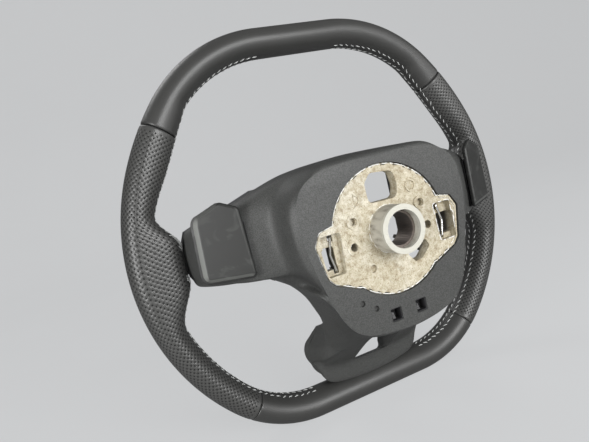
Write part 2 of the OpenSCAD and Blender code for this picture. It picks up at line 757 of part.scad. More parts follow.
// Snap sockets in the square holes
module cover_clip(side) {
    w = clip_w - 2 * fit;
    h = clip_h - 2 * fit;
    back = cover_back - 0.6;
    color([0.05, 0.05, 0.055]) on_side(side) translate([clip_gap / 2, 0, clip_z]) {
        difference() {
            union() {
                slab(back - 9, back) square([w, h], center = true);
                slab(back - 9, cover_back - wall - fit) square([w + 2.4, h + 2.4], center = true);
            }
            slab(back - 8, back + cut) square([w - 1.2, h - 1.2], center = true);
        }
        // Sprung tongue
        intersection() {
            slab(back - 8.5, back) square([w - 1, h - 1], center = true);
            across(-1.1, 1.1) polygon([[back - 8.5, -h / 2], [back - 8.5, h / 2],
                                       [back - 1, h / 2], [back - 6, 0], [back - 4, -h / 2]]);
        }
    }
}

module cover_screws() {
    color([0.7, 0.7, 0.7]) for (p = screw_places) axial(p[0], lug_back - 8.6 - fit, p[1]) difference() {
        union() {
            translate([0, 0, 2.5]) cylinder(r = screw_r, h = 12);
            cylinder(r = 3.8, h = 2.5);
        }
        translate([0, 0, -cut]) cylinder(r = 1.6, h = cut + 1.6, $fn = 6);
    }
}

// Trim on the driver's side

// Outline of a switch housing
pod_line = [[82, -5], [96, -8], [118, -5], [120, 10], [118, 24], [100, 31], [82, 34]];
bezel_depths = [[0, 1.2], [1.2, 0.5], [3, 0.2]];
front_line = whole(cover_line(cover_depth));

// A solid that fills the base outline from the bezels' front face to the parting plane
module bezel_block(inset) {
    skin(concat(
        [for (d = bezel_depths) ring_at(grown(front_line, -d[1] - inset), inset - bezel_front + d[0])],
        [ring_at(grown(front_line, -inset), parting_back - parting_gap + (inset > 0 ? cut : 0))]));
}

module spoke_bezel(side) {
    color([0.1, 0.1, 0.105]) on_side(side) difference() {
        bezel_block(0);
        difference() {
            bezel_block(wall);
            // Inner wall beside the airbag's place
            slab(-bezel_front, parting_back + 2 * cut)
                translate([airbag_half + fit, -60]) square([wall, 140]);
            // Wall round the switch housing
            slab(-bezel_front + 1, parting_back - 3) polygon(rounded(grown(pod_line, 1.6), 6));
        }
        translate([-300 + airbag_half + fit, -300, -300]) cube([300, 600, 600]);
        slab(-bezel_front - cut, parting_back + cut) polygon(rounded(pod_line, 5));
        side_arm(fit);
    }
}

module lower_trim() {
    // Its front and inner faces, as [back, z]
    front = [[13, -77], [9, -86], [2, -98], [-4, -110], [-9, -120], [-9, -150]];
    inner = [for (p = front) p + [wall, -0.8]];
    joint = [for (p = foot_parting) if (p[1] < -70) [p[0] - parting_gap, p[1]]];
    half = [for (i = [18 : len(base_line) - 1]) base_line[i] - [base_line[i][0] > 0 ? 0.6 : 0, -2]];
    outline = whole(concat([[0, half[0][1]]], half));
    color([0.1, 0.1, 0.105]) difference() {
        intersection() {
            slab(-20, 60) polygon(outline);
            union() {
                across(-70, 70) polygon(concat(front, reversed(inner)));
                // Side walls up to the parting line
                intersection() {
                    slab(-20, 60) difference() {
                        polygon(outline);
                        polygon(grown(outline, -wall + 0.5));
                    }
                    across(-70, 70) polygon(concat(front, reversed(joint)));
                }
            }
        }
        window_block(-30, 60) polygon(rounded(window_line(wall + 0.5), 4));
        both_sides() lower_arm(fit);
    }
}

// Switch housings, one in each side spoke

// Buttons of one housing, as [centre, size, corner radius]
button_places = [[[100, 21.5], [28, 9.5], 3], [[100, 12], [28, 6.5], 1.5], [[100, 2.2], [28, 10], 3]];
well_d = housing_d - 6;
housing_front = -bezel_front + 1;

function box_line(place, gap) =
    let (c = place[0], s = place[1] / 2 + [gap, gap])
    rounded([c + [-s[0], -s[1]], c + [s[0], -s[1]], c + [s[0], s[1]], c + [-s[0], s[1]]], place[2], 3);

module switch_housing(side) {
    color([0.1, 0.1, 0.105]) on_side(side) difference() {
        slab(housing_front, housing_front + housing_d) polygon(rounded(grown(pod_line, -0.5), 5));
        for (b = button_places)
            slab(housing_front - cut, housing_front + housing_d - 4) polygon(box_line(b, 0));
        // Bay for the circuit board
        slab(housing_front + well_d, housing_front + housing_d + cut)
            polygon(rounded(grown(pod_line, -2.5), 4));
    }
}

module switch_board(side) {
    board_front = housing_front + well_d + 1.6;
    color([0.1, 0.3, 0.16]) on_side(side) {
        slab(board_front, board_front + board_t) polygon(rounded(grown(pod_line, -2.5 - fit), 4));
        for (b = button_places)
            axial(b[0][0], board_front - 0.5, b[0][1]) cylinder(r = 2, h = 0.5 + cut / 10);
    }
}

module push_button(side, place) {
    color([0.07, 0.07, 0.075]) on_side(side) difference() {
        slab(housing_front - button_rise, housing_front + well_d - 0.4) polygon(box_line(place, -button_gap));
        slab(housing_front + 1, housing_front + well_d) difference() {
            polygon(box_line(place, -button_gap - 1.2));
            translate(place[0]) circle(r = 2);
        }
    }
}

// Shift paddles

// Outline of a paddle in its own plane: along the slope from the inner edge, and up
paddle_line = [[0, -7.5], [38.5, -5.6], [36, 41], [14.7, 49], [1.5, 42.5]];
hinge_x = paddle_x + 4;
hinge_back = paddle_back - 10.5;
hinge_z = 12;
base_plan = [[paddle_x - 2, hinge_z - 20], [paddle_x + 13, hinge_z - 20],
             [paddle_x + 13, hinge_z + 20], [paddle_x - 2, hinge_z + 20]];
base_foot = seat_of_base + fit / 2;
base_screw_x = paddle_x + 5.5;
base_screw_z = [hinge_z - 17, hinge_z + 17];
base_screw_r = 1.5;
base_screw_len = 7;

// Places a shape drawn in the paddle's plane; its Z points to the column
module on_paddle() {
    translate([paddle_x, paddle_back - seat_back, 0]) rotate([0, 0, -paddle_slope]) rotate([90, 0, 0])
        mirror([0, 0, 1]) children();
}

function flat_ring(outline, h) = [for (p = outline) [p[0], p[1], h]];

module paddle(side) {
    edge = rounded(paddle_line, 4.5, 3);
    color([0.19, 0.195, 0.195]) on_side(side) difference() {
        union() {
            on_paddle() skin([
                flat_ring(grown(edge, -1.6), 0), flat_ring(edge, -1.6),
                flat_ring(edge, -paddle_t + 0.6), flat_ring(grown(edge, -0.6), -paddle_t)]);
            upright(hinge_z - barrel_len / 2, hinge_z + barrel_len / 2) {
                translate([hinge_x, hinge_back]) circle(r = barrel_r);
                polygon([[hinge_x - 2, hinge_back], [hinge_x + 2.5, hinge_back],
                         [hinge_x + 3.5, paddle_back - 5], [hinge_x - 1.5, paddle_back - 3]]);
            }
        }
        translate([hinge_x, hinge_back - seat_back, hinge_z - barrel_len])
            cylinder(r = pin_r + pin_run, h = 2 * barrel_len);
    }
}

module paddle_base(side) {
    low = hinge_z - barrel_len / 2 - ear_t;
    high = hinge_z + barrel_len / 2 + ear_t;
    slope = tan(paddle_slope);
    top_inner = paddle_back - paddle_t / cos(paddle_slope) - 1.2;
    color([0.09, 0.09, 0.095]) on_side(side) difference() {
        intersection() {
            slab(base_foot, paddle_back) polygon(base_plan);
            upright(-60, 60) polygon([
                [paddle_x - 5, base_foot], [paddle_x + 20, base_foot],
                [paddle_x + 20, top_inner - 20 * slope], [paddle_x - 5, top_inner + 5 * slope]]);
        }
        // Bay for barrel, spring and switch
        upright(low + ear_t - fit - 0.1, high - ear_t + fit + 0.1) polygon([
            [paddle_x, hinge_back - 6], [paddle_x + 11, hinge_back - 6],
            [paddle_x + 11, paddle_back], [paddle_x, paddle_back]]);
        translate([hinge_x, hinge_back - seat_back, hinge_z - 40]) cylinder(r = pin_r + pin_run / 2, h = 80);
        for (z = base_screw_z)
            axial(base_screw_x, base_foot - cut, z) cylinder(r = base_screw_r + fit / 4, h = 9);
    }
}

module paddle_pin(side) {
    half = barrel_len / 2 + ear_t + 3;
    color([0.75, 0.75, 0.76]) on_side(side)
        translate([hinge_x, hinge_back - seat_back, hinge_z - half]) cylinder(r = pin_r, h = 2 * half);
}

// Leaf spring under the paddle
module paddle_spring(side) {
    foot = hinge_back - 6 + 0.3;
    line = [[paddle_x + 0.6, foot], [paddle_x + 5.5, foot], [paddle_x + 9.4, hinge_back + 0.9]];
    color([0.6, 0.6, 0.62]) on_side(side)
        upright(hinge_z + 2, hinge_z + 8) polygon(reversed(band(line, -0.5)));
}

module paddle_switch(side) {
    foot = hinge_back - 6 + 0.3;
    color([0.12, 0.12, 0.13]) on_side(side) {
        upright(hinge_z - 10, hinge_z - 2)
            polygon([[paddle_x + 7.6, foot], [paddle_x + 10.7, foot],
                     [paddle_x + 10.7, foot + 5], [paddle_x + 7.6, foot + 5]]);
        axial(paddle_x + 9.2, foot + 4, hinge_z - 6) cylinder(r = 0.8, h = 2);
    }
}

module base_screws() {
    both_sides() color([0.7, 0.7, 0.7]) for (z = base_screw_z)
        axial(base_screw_x, seat_of_base - base_screw_len + fit / 4, z) cylinder(r = base_screw_r, h = 14);
}

armature();
column_sleeve();
rim_foam();
leather_top();
leather_bottom();
grip(LEFT);  // grip_left
grip(RIGHT);  // grip_right
rear_cover();
cover_clip(LEFT);  // cover_clip_left
cover_clip(RIGHT);  // cover_clip_right
cover_screws();
lower_trim();
spoke_bezel(LEFT);  // spoke_bezel_left
spoke_bezel(RIGHT);  // spoke_bezel_right
airbag_spring(LEFT);  // airbag_spring_left
airbag_spring(RIGHT);  // airbag_spring_right
paddle(LEFT);  // paddle_left
paddle(RIGHT);  // paddle_right
paddle_base(LEFT);  // paddle_base_left
paddle_base(RIGHT);  // paddle_base_right
paddle_pin(LEFT);  // paddle_pin_left
paddle_pin(RIGHT);  // paddle_pin_right
paddle_spring(LEFT);  // paddle_spring_left
paddle_spring(RIGHT);  // paddle_spring_right
paddle_switch(LEFT);  // paddle_switch_left
paddle_switch(RIGHT);  // paddle_switch_right
base_screws();
switch_housing(LEFT);  // switch_housing_left
switch_housing(RIGHT);  // switch_housing_right
switch_board(LEFT);  // switch_board_left
switch_board(RIGHT);  // switch_board_right
push_button(LEFT, button_places[0]);  // upper_button_left
push_button(RIGHT, button_places[0]);  // upper_button_right
push_button(LEFT, button_places[1]);  // middle_button_left
push_button(RIGHT, button_places[1]);  // middle_button_right
push_button(LEFT, button_places[2]);  // lower_button_left
push_button(RIGHT, button_places[2]);  // lower_button_right
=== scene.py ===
import math
from contextlib import contextmanager

import bmesh
import bpy
import numpy as np
from bpy.props import FloatProperty, FloatVectorProperty, IntProperty, PointerProperty
from mathutils import Matrix, Vector


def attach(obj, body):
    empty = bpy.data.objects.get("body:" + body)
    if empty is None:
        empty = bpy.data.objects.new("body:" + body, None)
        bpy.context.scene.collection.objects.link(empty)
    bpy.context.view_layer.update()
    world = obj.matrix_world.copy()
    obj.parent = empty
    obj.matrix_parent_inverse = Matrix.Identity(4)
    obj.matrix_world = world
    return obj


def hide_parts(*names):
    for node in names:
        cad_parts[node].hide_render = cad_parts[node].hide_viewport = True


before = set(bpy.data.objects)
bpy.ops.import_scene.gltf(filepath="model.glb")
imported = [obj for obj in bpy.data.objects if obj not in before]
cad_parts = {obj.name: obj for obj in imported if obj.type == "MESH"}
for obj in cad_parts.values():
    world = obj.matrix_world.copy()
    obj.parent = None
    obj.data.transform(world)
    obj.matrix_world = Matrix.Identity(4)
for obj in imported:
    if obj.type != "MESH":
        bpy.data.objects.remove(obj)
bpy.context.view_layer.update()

bl_info = {
    "name": "Steering Wheel Finish",
    "version": (1, 0, 0),
    "blender": (4, 5, 0),
    "location": "View3D > Sidebar > Wheel",
    "description": "Dresses the steering wheel's solids with leather, thread, plastic and cast metal",
    "category": "Object",
}

MM = 0.001
SIDES = (("left", -1.0), ("right", 1.0))

# The rim's line, in millimetres and degrees, as in the part's own source
RIM_TOP = 170.0
TOP_FLAT = 35.0
ARC_RADII = (114.0, 235.0, 177.5, 93.0)
ARC_TURNS = (50.5, 13.5, 69.5, 46.5)
RIM_WIDTH = 25.0
RIM_DEPTH = 31.8
SEAT_BACK = 101.5
SPOKE_Z = 9.0
ROOT_LEN = 19.0
ROOT_HALF = 17.0
ROOT_LEAN = 2.2
UPPER_FILLET = 27.0
LOWER_FILLET = 44.0
THUMB_SWELL = 7.0
THUMB_BELOW_SEAM = 5
THUMB_REACH = 17
ROOT_SQUARENESS = 1.6
UPPER_SEAM = 55.0
LOWER_SEAM = 141.5
SEAM_GAP = 0.6


def length_setting(name, description, default, low, high):
    """A length that a user can change; its values are given in millimetres."""
    return FloatProperty(name=name, description=description, default=default * MM,
                         min=low * MM, max=high * MM, subtype="DISTANCE", unit="LENGTH")


def count_setting(name, description, default, low, high):
    """A whole number that a user can change."""
    return IntProperty(name=name, description=description, default=default, min=low, max=high)


def colour_setting(name, description, default):
    """A colour that a user can change."""
    return FloatVectorProperty(name=name, description=description, default=default,
                               size=3, min=0.0, max=1.0, subtype="COLOR")


class WheelSizes(bpy.types.PropertyGroup):
    leather_thickness: length_setting(
        "Leather thickness", "Thickness of the rim's leather", 1.2, 0.8, 1.6)
    ring_step: length_setting(
        "Ring step", "Distance between two sections of the leather along the rim", 2.0, 1.0, 6.0)
    section_points: count_setting("Section points", "Points round one section of the rim", 72, 24, 128)
    pit_step: length_setting(
        "Pit step", "Half the distance between two perforations in one row", 2.1, 1.5, 3.0)
    pit_radius: length_setting("Pit radius", "Radius of one perforation", 0.62, 0.2, 0.9)
    pit_columns: count_setting("Pit columns", "Rows of perforations round the grip", 44, 30, 60)
    stitch_pitch: length_setting("Stitch pitch", "Distance between two stitches", 5.6, 3.0, 9.0)
    stitch_length: length_setting(
        "Stitch length", "Length of the thread that shows in one stitch", 4.48, 2.0, 6.0)
    thread_radius: length_setting("Thread radius", "Radius of the sewing thread", 0.43, 0.2, 0.7)
    row_offset: length_setting(
        "Row offset", "Distance of each row of stitches from the seam", 3.4, 1.5, 5.0)
    seam_shift: length_setting(
        "Seam shift", "Distance of the seam behind the middle of the rim's inner side", 1.9, 0.0, 3.0)
    paddle_edge: length_setting(
        "Paddle edge", "Width of the rounded edge of the paddles", 1.2, 0.8, 2.0)
    paddle_slope: length_setting(
        "Paddle slope", "Width of the slope down to the paddles' outer edge", 4.6, 2.0, 5.8)


class WheelColours(bpy.types.PropertyGroup):
    leather: colour_setting("Leather", "Colour of the smooth leather", (0.037, 0.037, 0.0355))
    cover: colour_setting("Cover", "Colour of the rear cover", (0.050, 0.051, 0.049))
    paddle: colour_setting("Paddle", "Colour of the shift paddles", (0.0182, 0.0187, 0.0176))
    thread: colour_setting("Thread", "Colour of the sewing thread", (0.52, 0.53, 0.52))
    casting: colour_setting("Casting", "Colour of the hub casting", (0.50, 0.465, 0.37))
    floor: colour_setting("Floor", "Colour of the floor and backdrop", (0.72, 0.73, 0.74))


# Rim geometry

ARC_HEADINGS = np.concatenate([[0.0], np.cumsum(ARC_TURNS)])


def outward(heading):
    """The direction away from the rim's middle at a heading."""
    turn = np.radians(heading)
    return np.stack([np.sin(turn), np.cos(turn)], axis=-1)


def arc_starts():
    """Where each arc of the rim's centre line begins."""
    starts = [np.array([TOP_FLAT, RIM_TOP])]
    for k, radius in enumerate(ARC_RADII[:-1]):
        starts.append(starts[-1] + radius * (outward(ARC_HEADINGS[k + 1]) - outward(ARC_HEADINGS[k])))
    return np.array(starts)


ARC_STARTS = arc_starts()


def rim_at(heading):
    """Point of the rim's centre line at a heading from the top, on the right side."""
    heading = np.asarray(heading, dtype=float)
    k = np.clip(np.searchsorted(ARC_HEADINGS, heading, side="right") - 1, 0, 3)
    radius = np.array(ARC_RADII)[k][..., None]
    return ARC_STARTS[k] + radius * (outward(heading) - outward(ARC_HEADINGS[k]))


# Where the side spokes meet the rim, and how far the cover's arms and leg reach
SIDE_RADIUS = ARC_RADII[2]
SPOKE_HEADING = math.degrees(math.acos(
    (SPOKE_Z - ARC_STARTS[2][1]) / SIDE_RADIUS + math.cos(math.radians(ARC_HEADINGS[2]))))
SPOKE_RIM_X = float(rim_at(SPOKE_HEADING)[0])
ARM_TIP = SPOKE_RIM_X - RIM_WIDTH / 2 - ROOT_LEN - 1
LEG_TIP = float(rim_at(180.0)[1]) + RIM_WIDTH / 2 - 1.2


def smooth(t):
    """A soft step from 0 to 1."""
    s = np.clip(t, 0.0, 1.0)
    return s * s * (3 - 2 * s)


def root_share(heading):
    """How much of the spoke root the section has at a heading, from 0 to 1."""
    along = np.radians(np.abs(heading - SPOKE_HEADING)) * SIDE_RADIUS
    fillet = np.where(heading < SPOKE_HEADING, UPPER_FILLET, LOWER_FILLET)
    return 1 - smooth((along - ROOT_HALF) / fillet)


def rim_surface(heading, angle, inset, side):
    """Points of the leather's surface, for a heading along the rim and an angle round its section."""
    heading, angle, inset = np.broadcast_arrays(
        np.asarray(heading, float), np.asarray(angle, float), np.asarray(inset, float))
    root = root_share(heading)
    outer = RIM_WIDTH / 2 - inset
    inner = outer + ROOT_LEN * root
    thumb = THUMB_SWELL * (1 - smooth(np.abs(heading - UPPER_SEAM - THUMB_BELOW_SEAM) / THUMB_REACH))
    half_depth = RIM_DEPTH / 2 - inset
    power = 2 / (2 + ROOT_SQUARENESS * root)
    c, s = np.cos(np.radians(angle)), np.sin(np.radians(angle))
    low = np.maximum(-c, 1e-9)
    out = np.where(c >= 0, outer * c, -inner * low ** power + thumb * c * (0.7 + 0.3 * s))
    back = np.where(c >= 0, half_depth * s,
                    half_depth * np.sign(s) * np.abs(s) ** power - ROOT_LEAN * root * c)
    centre = rim_at(heading)
    normal = outward(heading)
    return np.stack([side * (centre[..., 0] + out * normal[..., 0]), back - SEAT_BACK,
                     centre[..., 1] + out * normal[..., 1]], axis=-1) * MM


def girth_angles(headings, shares):
    """Angles round each section that split its girth evenly on each side of the seam."""
    fine = np.linspace(0.0, 180.0, 181)
    headings = np.atleast_1d(headings)
    shares = np.broadcast_to(np.asarray(shares, float), (len(headings), np.shape(shares)[-1]))
    angles = np.empty(shares.shape)
    for half, start in ((0, 0.0), (1, 180.0)):
        line = rim_surface(headings[:, None], start + fine[None, :], 0.0, 1.0)
        length = np.cumsum(np.linalg.norm(np.diff(line, axis=1), axis=2), axis=1)
        length = np.concatenate([np.zeros((len(headings), 1)), length], axis=1)
        length /= length[:, -1:]
        for i in range(len(headings)):
            here = (shares[i] >= 0.5) if half else (shares[i] < 0.5)
            angles[i, here] = start + np.interp(shares[i, here] * 2 - half, length[i], fine)
    return angles


def lengths_along(points):
    """Length along a line from its first point to each."""
    return np.concatenate([[0.0], np.cumsum(np.linalg.norm(np.diff(points, axis=0), axis=1))])


def rim_lengths(headings):
    """Length along the centre line from the first heading to each, in metres."""
    return lengths_along(rim_at(headings)) * MM


def even_headings(start, end, step):
    """Headings that lie evenly along the rim's line, about a step apart."""
    fine = np.linspace(start, end, 2000)
    length = rim_lengths(fine)
    places = max(2, int(round(length[-1] / step)) + 1)
    return np.interp(np.linspace(0, length[-1], places), length, fine)


def surface_normals(heading, angle, side):
    """Outward normals of the leather's surface."""
    along, around = (
        rim_surface(heading + h, angle + a, 0.0, side) - rim_surface(heading - h, angle - a, 0.0, side)
        for h, a in ((0.05, 0.0), (0.0, 1.0)))
    return unit(np.cross(along, around) * side)


def unit(vectors):
    """Vectors brought to length 1."""
    return vectors / np.linalg.norm(vectors, axis=-1)[..., None]


def tangents(points):
    """Directions of a closed line at each of its points."""
    return unit(np.roll(points, -1, axis=0) - np.roll(points, 1, axis=0))


# Meshes

def new_object(name, verts, faces, uvs=None, values=None):
    """An object from vertices and faces, with an optional UV per corner and values per vertex."""
    mesh = bpy.data.meshes.new(name)
    mesh.from_pydata([tuple(map(float, v)) for v in verts], [], [tuple(map(int, f)) for f in faces])
    if uvs is not None:
        layer = mesh.uv_layers.new(name="UVMap")
        layer.data.foreach_set("uv", np.asarray(uvs, dtype=np.float32).ravel())
    for key, data in (values or {}).items():
        store(mesh, key, np.asarray(data, dtype=np.float32))
    mesh.update()
    obj = bpy.data.objects.new(name, mesh)
    bpy.context.scene.collection.objects.link(obj)
    return obj


def store(mesh, key, data):
    """Keeps one number or one vector for each vertex as an attribute."""
    kind, part = ("FLOAT_VECTOR", "vector") if data.ndim == 2 else ("FLOAT", "value")
    mesh.attributes.new(key, kind, "POINT").data.foreach_set(part, data.ravel())


@contextmanager
def editing(obj):
    """An object's mesh as a bmesh, written back at the end."""
    bm = bmesh.new()
    bm.from_mesh(obj.data)
    yield bm
    bm.to_mesh(obj.data)
    bm.free()


def grid_faces(rows, columns, offset=0):
    """Quads of a grid of vertices, closed round its columns."""
    i, j = np.arange(rows - 1)[:, None], np.arange(columns)[None, :]
    k = (j + 1) % columns
    this, after = i * columns, (i + 1) * columns
    quads = np.stack([this + j, this + k, after + k, after + j], axis=-1).reshape(-1, 4)
    return [tuple(q) for q in quads + offset]


def tube_faces(rows, columns, offset=0):
    """Faces of a stack of rings, closed at both ends."""
    last = offset + (rows - 1) * columns
    return grid_faces(rows, columns, offset) + [
        tuple(range(offset + columns - 1, offset - 1, -1)), tuple(range(last, last + columns))]


def shade(obj, angle):
    """Smooth faces with hard edges above an angle."""
    obj.data.shade_smooth()
    limit = math.radians(angle)
    with editing(obj) as bm:
        for edge in bm.edges:
            edge.smooth = len(edge.link_faces) == 2 and edge.calc_face_angle(0.0) < limit


def outward_faces(obj):
    """Joins points that coincide, and turns every face outwards."""
    with editing(obj) as bm:
        bmesh.ops.remove_doubles(bm, verts=bm.verts, dist=1e-7)
        bmesh.ops.recalc_face_normals(bm, faces=bm.faces)


def loft(name, rings):
    """A closed solid from a stack of rings with the same number of points."""
    rings = np.asarray(rings)
    obj = new_object(name, rings.reshape(-1, 3), tube_faces(*rings.shape[:2]))
    outward_faces(obj)
    return obj


def prism(name, outline, start, end, axis=1, side=1.0):
    """A closed solid: an outline in millimetres, pushed along an axis of the wheel from start to end.

    The outline holds the other two of x, depth and z, and side -1 mirrors it to the left."""
    outline = np.asarray(outline, float)
    return loft(name, [(np.insert(outline, axis, place, axis=1) * (side, 1, 1) - (0, SEAT_BACK, 0)) * MM
                       for place in (start, end)])


def carve(obj, tool, operation="DIFFERENCE"):
    """Applies one Boolean with a closed tool, and deletes the tool."""
    modifier = obj.modifiers.new("carve", "BOOLEAN")
    modifier.object = tool
    modifier.operation = operation
    modifier.solver = "EXACT"
    apply_modifiers(obj)
    bpy.data.objects.remove(tool)


def apply_modifiers(obj):
    """Bakes an object's modifiers into a plain mesh."""
    graph = bpy.context.evaluated_depsgraph_get()
    graph.update()
    mesh = bpy.data.meshes.new_from_object(
        obj.evaluated_get(graph), preserve_all_data_layers=True, depsgraph=graph)
    obj.modifiers.clear()
    obj.data = mesh


def dress(obj, material):
    obj.data.materials.clear()
    obj.data.materials.append(material)


# Materials

class Kit:
    """A new material, with short ways to add and join its nodes."""

    def __init__(self, name):
        self.material = bpy.data.materials.new(name)
        self.material.use_nodes = True
        self.tree = self.material.node_tree
        self.shader = self.tree.nodes["Principled BSDF"]
        self.coordinates = self.add("ShaderNodeTexCoord").outputs
        self.place = self.coordinates["Object"]

    def add(self, kind, **settings):
        node = self.tree.nodes.new(kind)
        for key, value in settings.items():
            if key in node.inputs.keys():
                node.inputs[key].default_value = value
            else:
                setattr(node, key, value)
        return node

    def feed(self, socket, value):
        """Joins a socket to another one, or sets it to a constant."""
        if isinstance(value, bpy.types.NodeSocket):
            self.tree.links.new(value, socket)
        else:
            socket.default_value = value

    def surface(self, **values):
        """Feeds inputs of the shader; an underscore stands for a space."""
        for key, value in values.items():
            self.feed(self.shader.inputs[key.replace("_", " ")], value)

    def texture(self, kind, place=None, **settings):
        """The outputs of a texture, laid out in the object's coordinates unless a place is given."""
        node = self.add("ShaderNodeTex" + kind, **settings)
        self.feed(node.inputs["Vector"], self.place if place is None else place)
        return node.outputs

    def noise(self, scale, detail, **settings):
        return self.texture("Noise", Scale=scale, Detail=detail, **settings)["Fac"]

    def streaks(self, scale, detail):
        """Noise that is stretched by a scale for each axis."""
        stretch = self.add("ShaderNodeMapping", Scale=scale)
        self.feed(stretch.inputs["Vector"], self.place)
        return self.texture("Noise", stretch.outputs["Vector"], Scale=1.0, Detail=detail)["Fac"]

    def math(self, operation, *values):
        node = self.add("ShaderNodeMath", operation=operation)
        for socket, value in zip(node.inputs, values):
            self.feed(socket, value)
        return node.outputs[0]

    def split(self, vector):
        node = self.add("ShaderNodeSeparateXYZ")
        self.feed(node.inputs[0], vector)
        return node.outputs

    def remap(self, value, **limits):
        """A clamped linear map; an underscore in a limit's name stands for a space."""
        node = self.add("ShaderNodeMapRange")
        for key, limit in limits.items():
            node.inputs[key.replace("_", " ")].default_value = limit
        self.feed(node.inputs["Value"], value)
        return node.outputs["Result"]

    def ramp(self, value, *stops):
        node = self.add("ShaderNodeValToRGB")
        ends = node.color_ramp.elements
        while len(ends) < len(stops):
            ends.new(0.5)
        for element, (place, colour) in zip(ends, stops):
            element.position = place
            element.color = (*colour, 1.0)
        self.feed(node.inputs[0], value)
        return node.outputs[0]

    def mix(self, blend, factor, first, second):
        """The colour of one mix node; each value is a socket or a constant."""
        node = self.add("ShaderNodeMix", data_type="RGBA", blend_type=blend)
        for key, value in (("Factor", factor), ("A", first), ("B", second)):
            self.feed(node.inputs[key], value)
        return node.outputs["Result"]

    def bump(self, height, strength, depth):
        node = self.add("ShaderNodeBump", Strength=strength, Distance=depth)
        self.feed(node.inputs["Height"], height)
        self.surface(Normal=node.outputs["Normal"])


def scaled(colour, factor):
    return [c * factor for c in colour]


def grained(name, colour, roughness=0.5, grain=0.0004, depth=0.00004, patches=0.12, spread=0.06,
            speckle=0.0, specular=0.5):
    """Leather or moulded plastic: fine pebbled grain, and slow patches in tone and gloss."""
    kit = Kit(name)
    cells = kit.texture("Voronoi", feature="F1", Scale=1 / grain)["Distance"]
    fine = kit.noise(0.6 / grain, 3.0)
    slow = kit.noise(22.0, 4.0, Roughness=0.6)
    tone = kit.ramp(slow, (0.3, scaled(colour, 1 - patches)), (0.7, scaled(colour, 1 + patches)))
    speck = kit.ramp(fine, (0.38, (1 - speckle,) * 3), (0.62, (1 + speckle,) * 3))
    gloss = kit.remap(slow, To_Min=roughness - spread, To_Max=roughness + spread)
    kit.surface(Base_Color=kit.mix("MULTIPLY", 1.0, tone, speck), Roughness=gloss)
    kit.shader.inputs["Specular IOR Level"].default_value = specular
    kit.bump(kit.math("ADD", cells, fine), 1.0, depth)
    return kit.material


def cover_finish(name, colour):
    """The coarse satin grain of the rear cover and the lower trim."""
    return grained(name, colour, roughness=0.44, grain=0.00042, depth=0.00006, speckle=0.3,
                   specular=0.35, patches=0.05, spread=0.04)


def perforated_leather(colour):
    """Grip leather: pillows between the pits of a diamond lattice laid out in the piece's own UV map,
    with painted light on the pillows and painted shade round the pits.
    """
    kit = Kit("perforated_leather")
    parts = kit.split(kit.coordinates["UV"])
    waves = [kit.math("COSINE", kit.math("MULTIPLY", parts[axis], 2 * math.pi)) for axis in ("X", "Y")]
    mask = kit.add("ShaderNodeAttribute", attribute_name="pits").outputs["Fac"]
    dip = kit.math("MULTIPLY", kit.math("ADD", *waves), mask)
    pillow = kit.math("MULTIPLY", dip, -0.5)
    small = kit.math("MULTIPLY", kit.noise(2200.0, 3.0), 0.35)
    kit.bump(kit.math("ADD", pillow, small), 1.0, 0.00012)
    # Painted light and shade: the colour is lighter on the raised pillows and darker round the pits,
    # following the relief.
    painted_relief_shading = kit.remap(pillow, From_Min=-0.9, From_Max=0.7)
    tone = kit.ramp(painted_relief_shading, (0.0, scaled(colour, 0.62)), (0.5, colour), (1.0, scaled(colour, 1.18)))
    kit.surface(Base_Color=tone, Roughness=0.38)
    return kit.material


# Where the casting's finish changes, and where painted shade darkens it deep in its pockets and near the
# rim, in metres in the wheel's own frame
BORE_RADIUS = 0.0196
BORE_FLANK_Y = -0.010
BORE_RING_Y = 0.0045
POCKET_SHADE_FROM_Y, POCKET_SHADE_TO_Y = -0.0222, -0.0185
GAP_SHADE_X = 0.118
GAP_SHADE_Z = -0.118


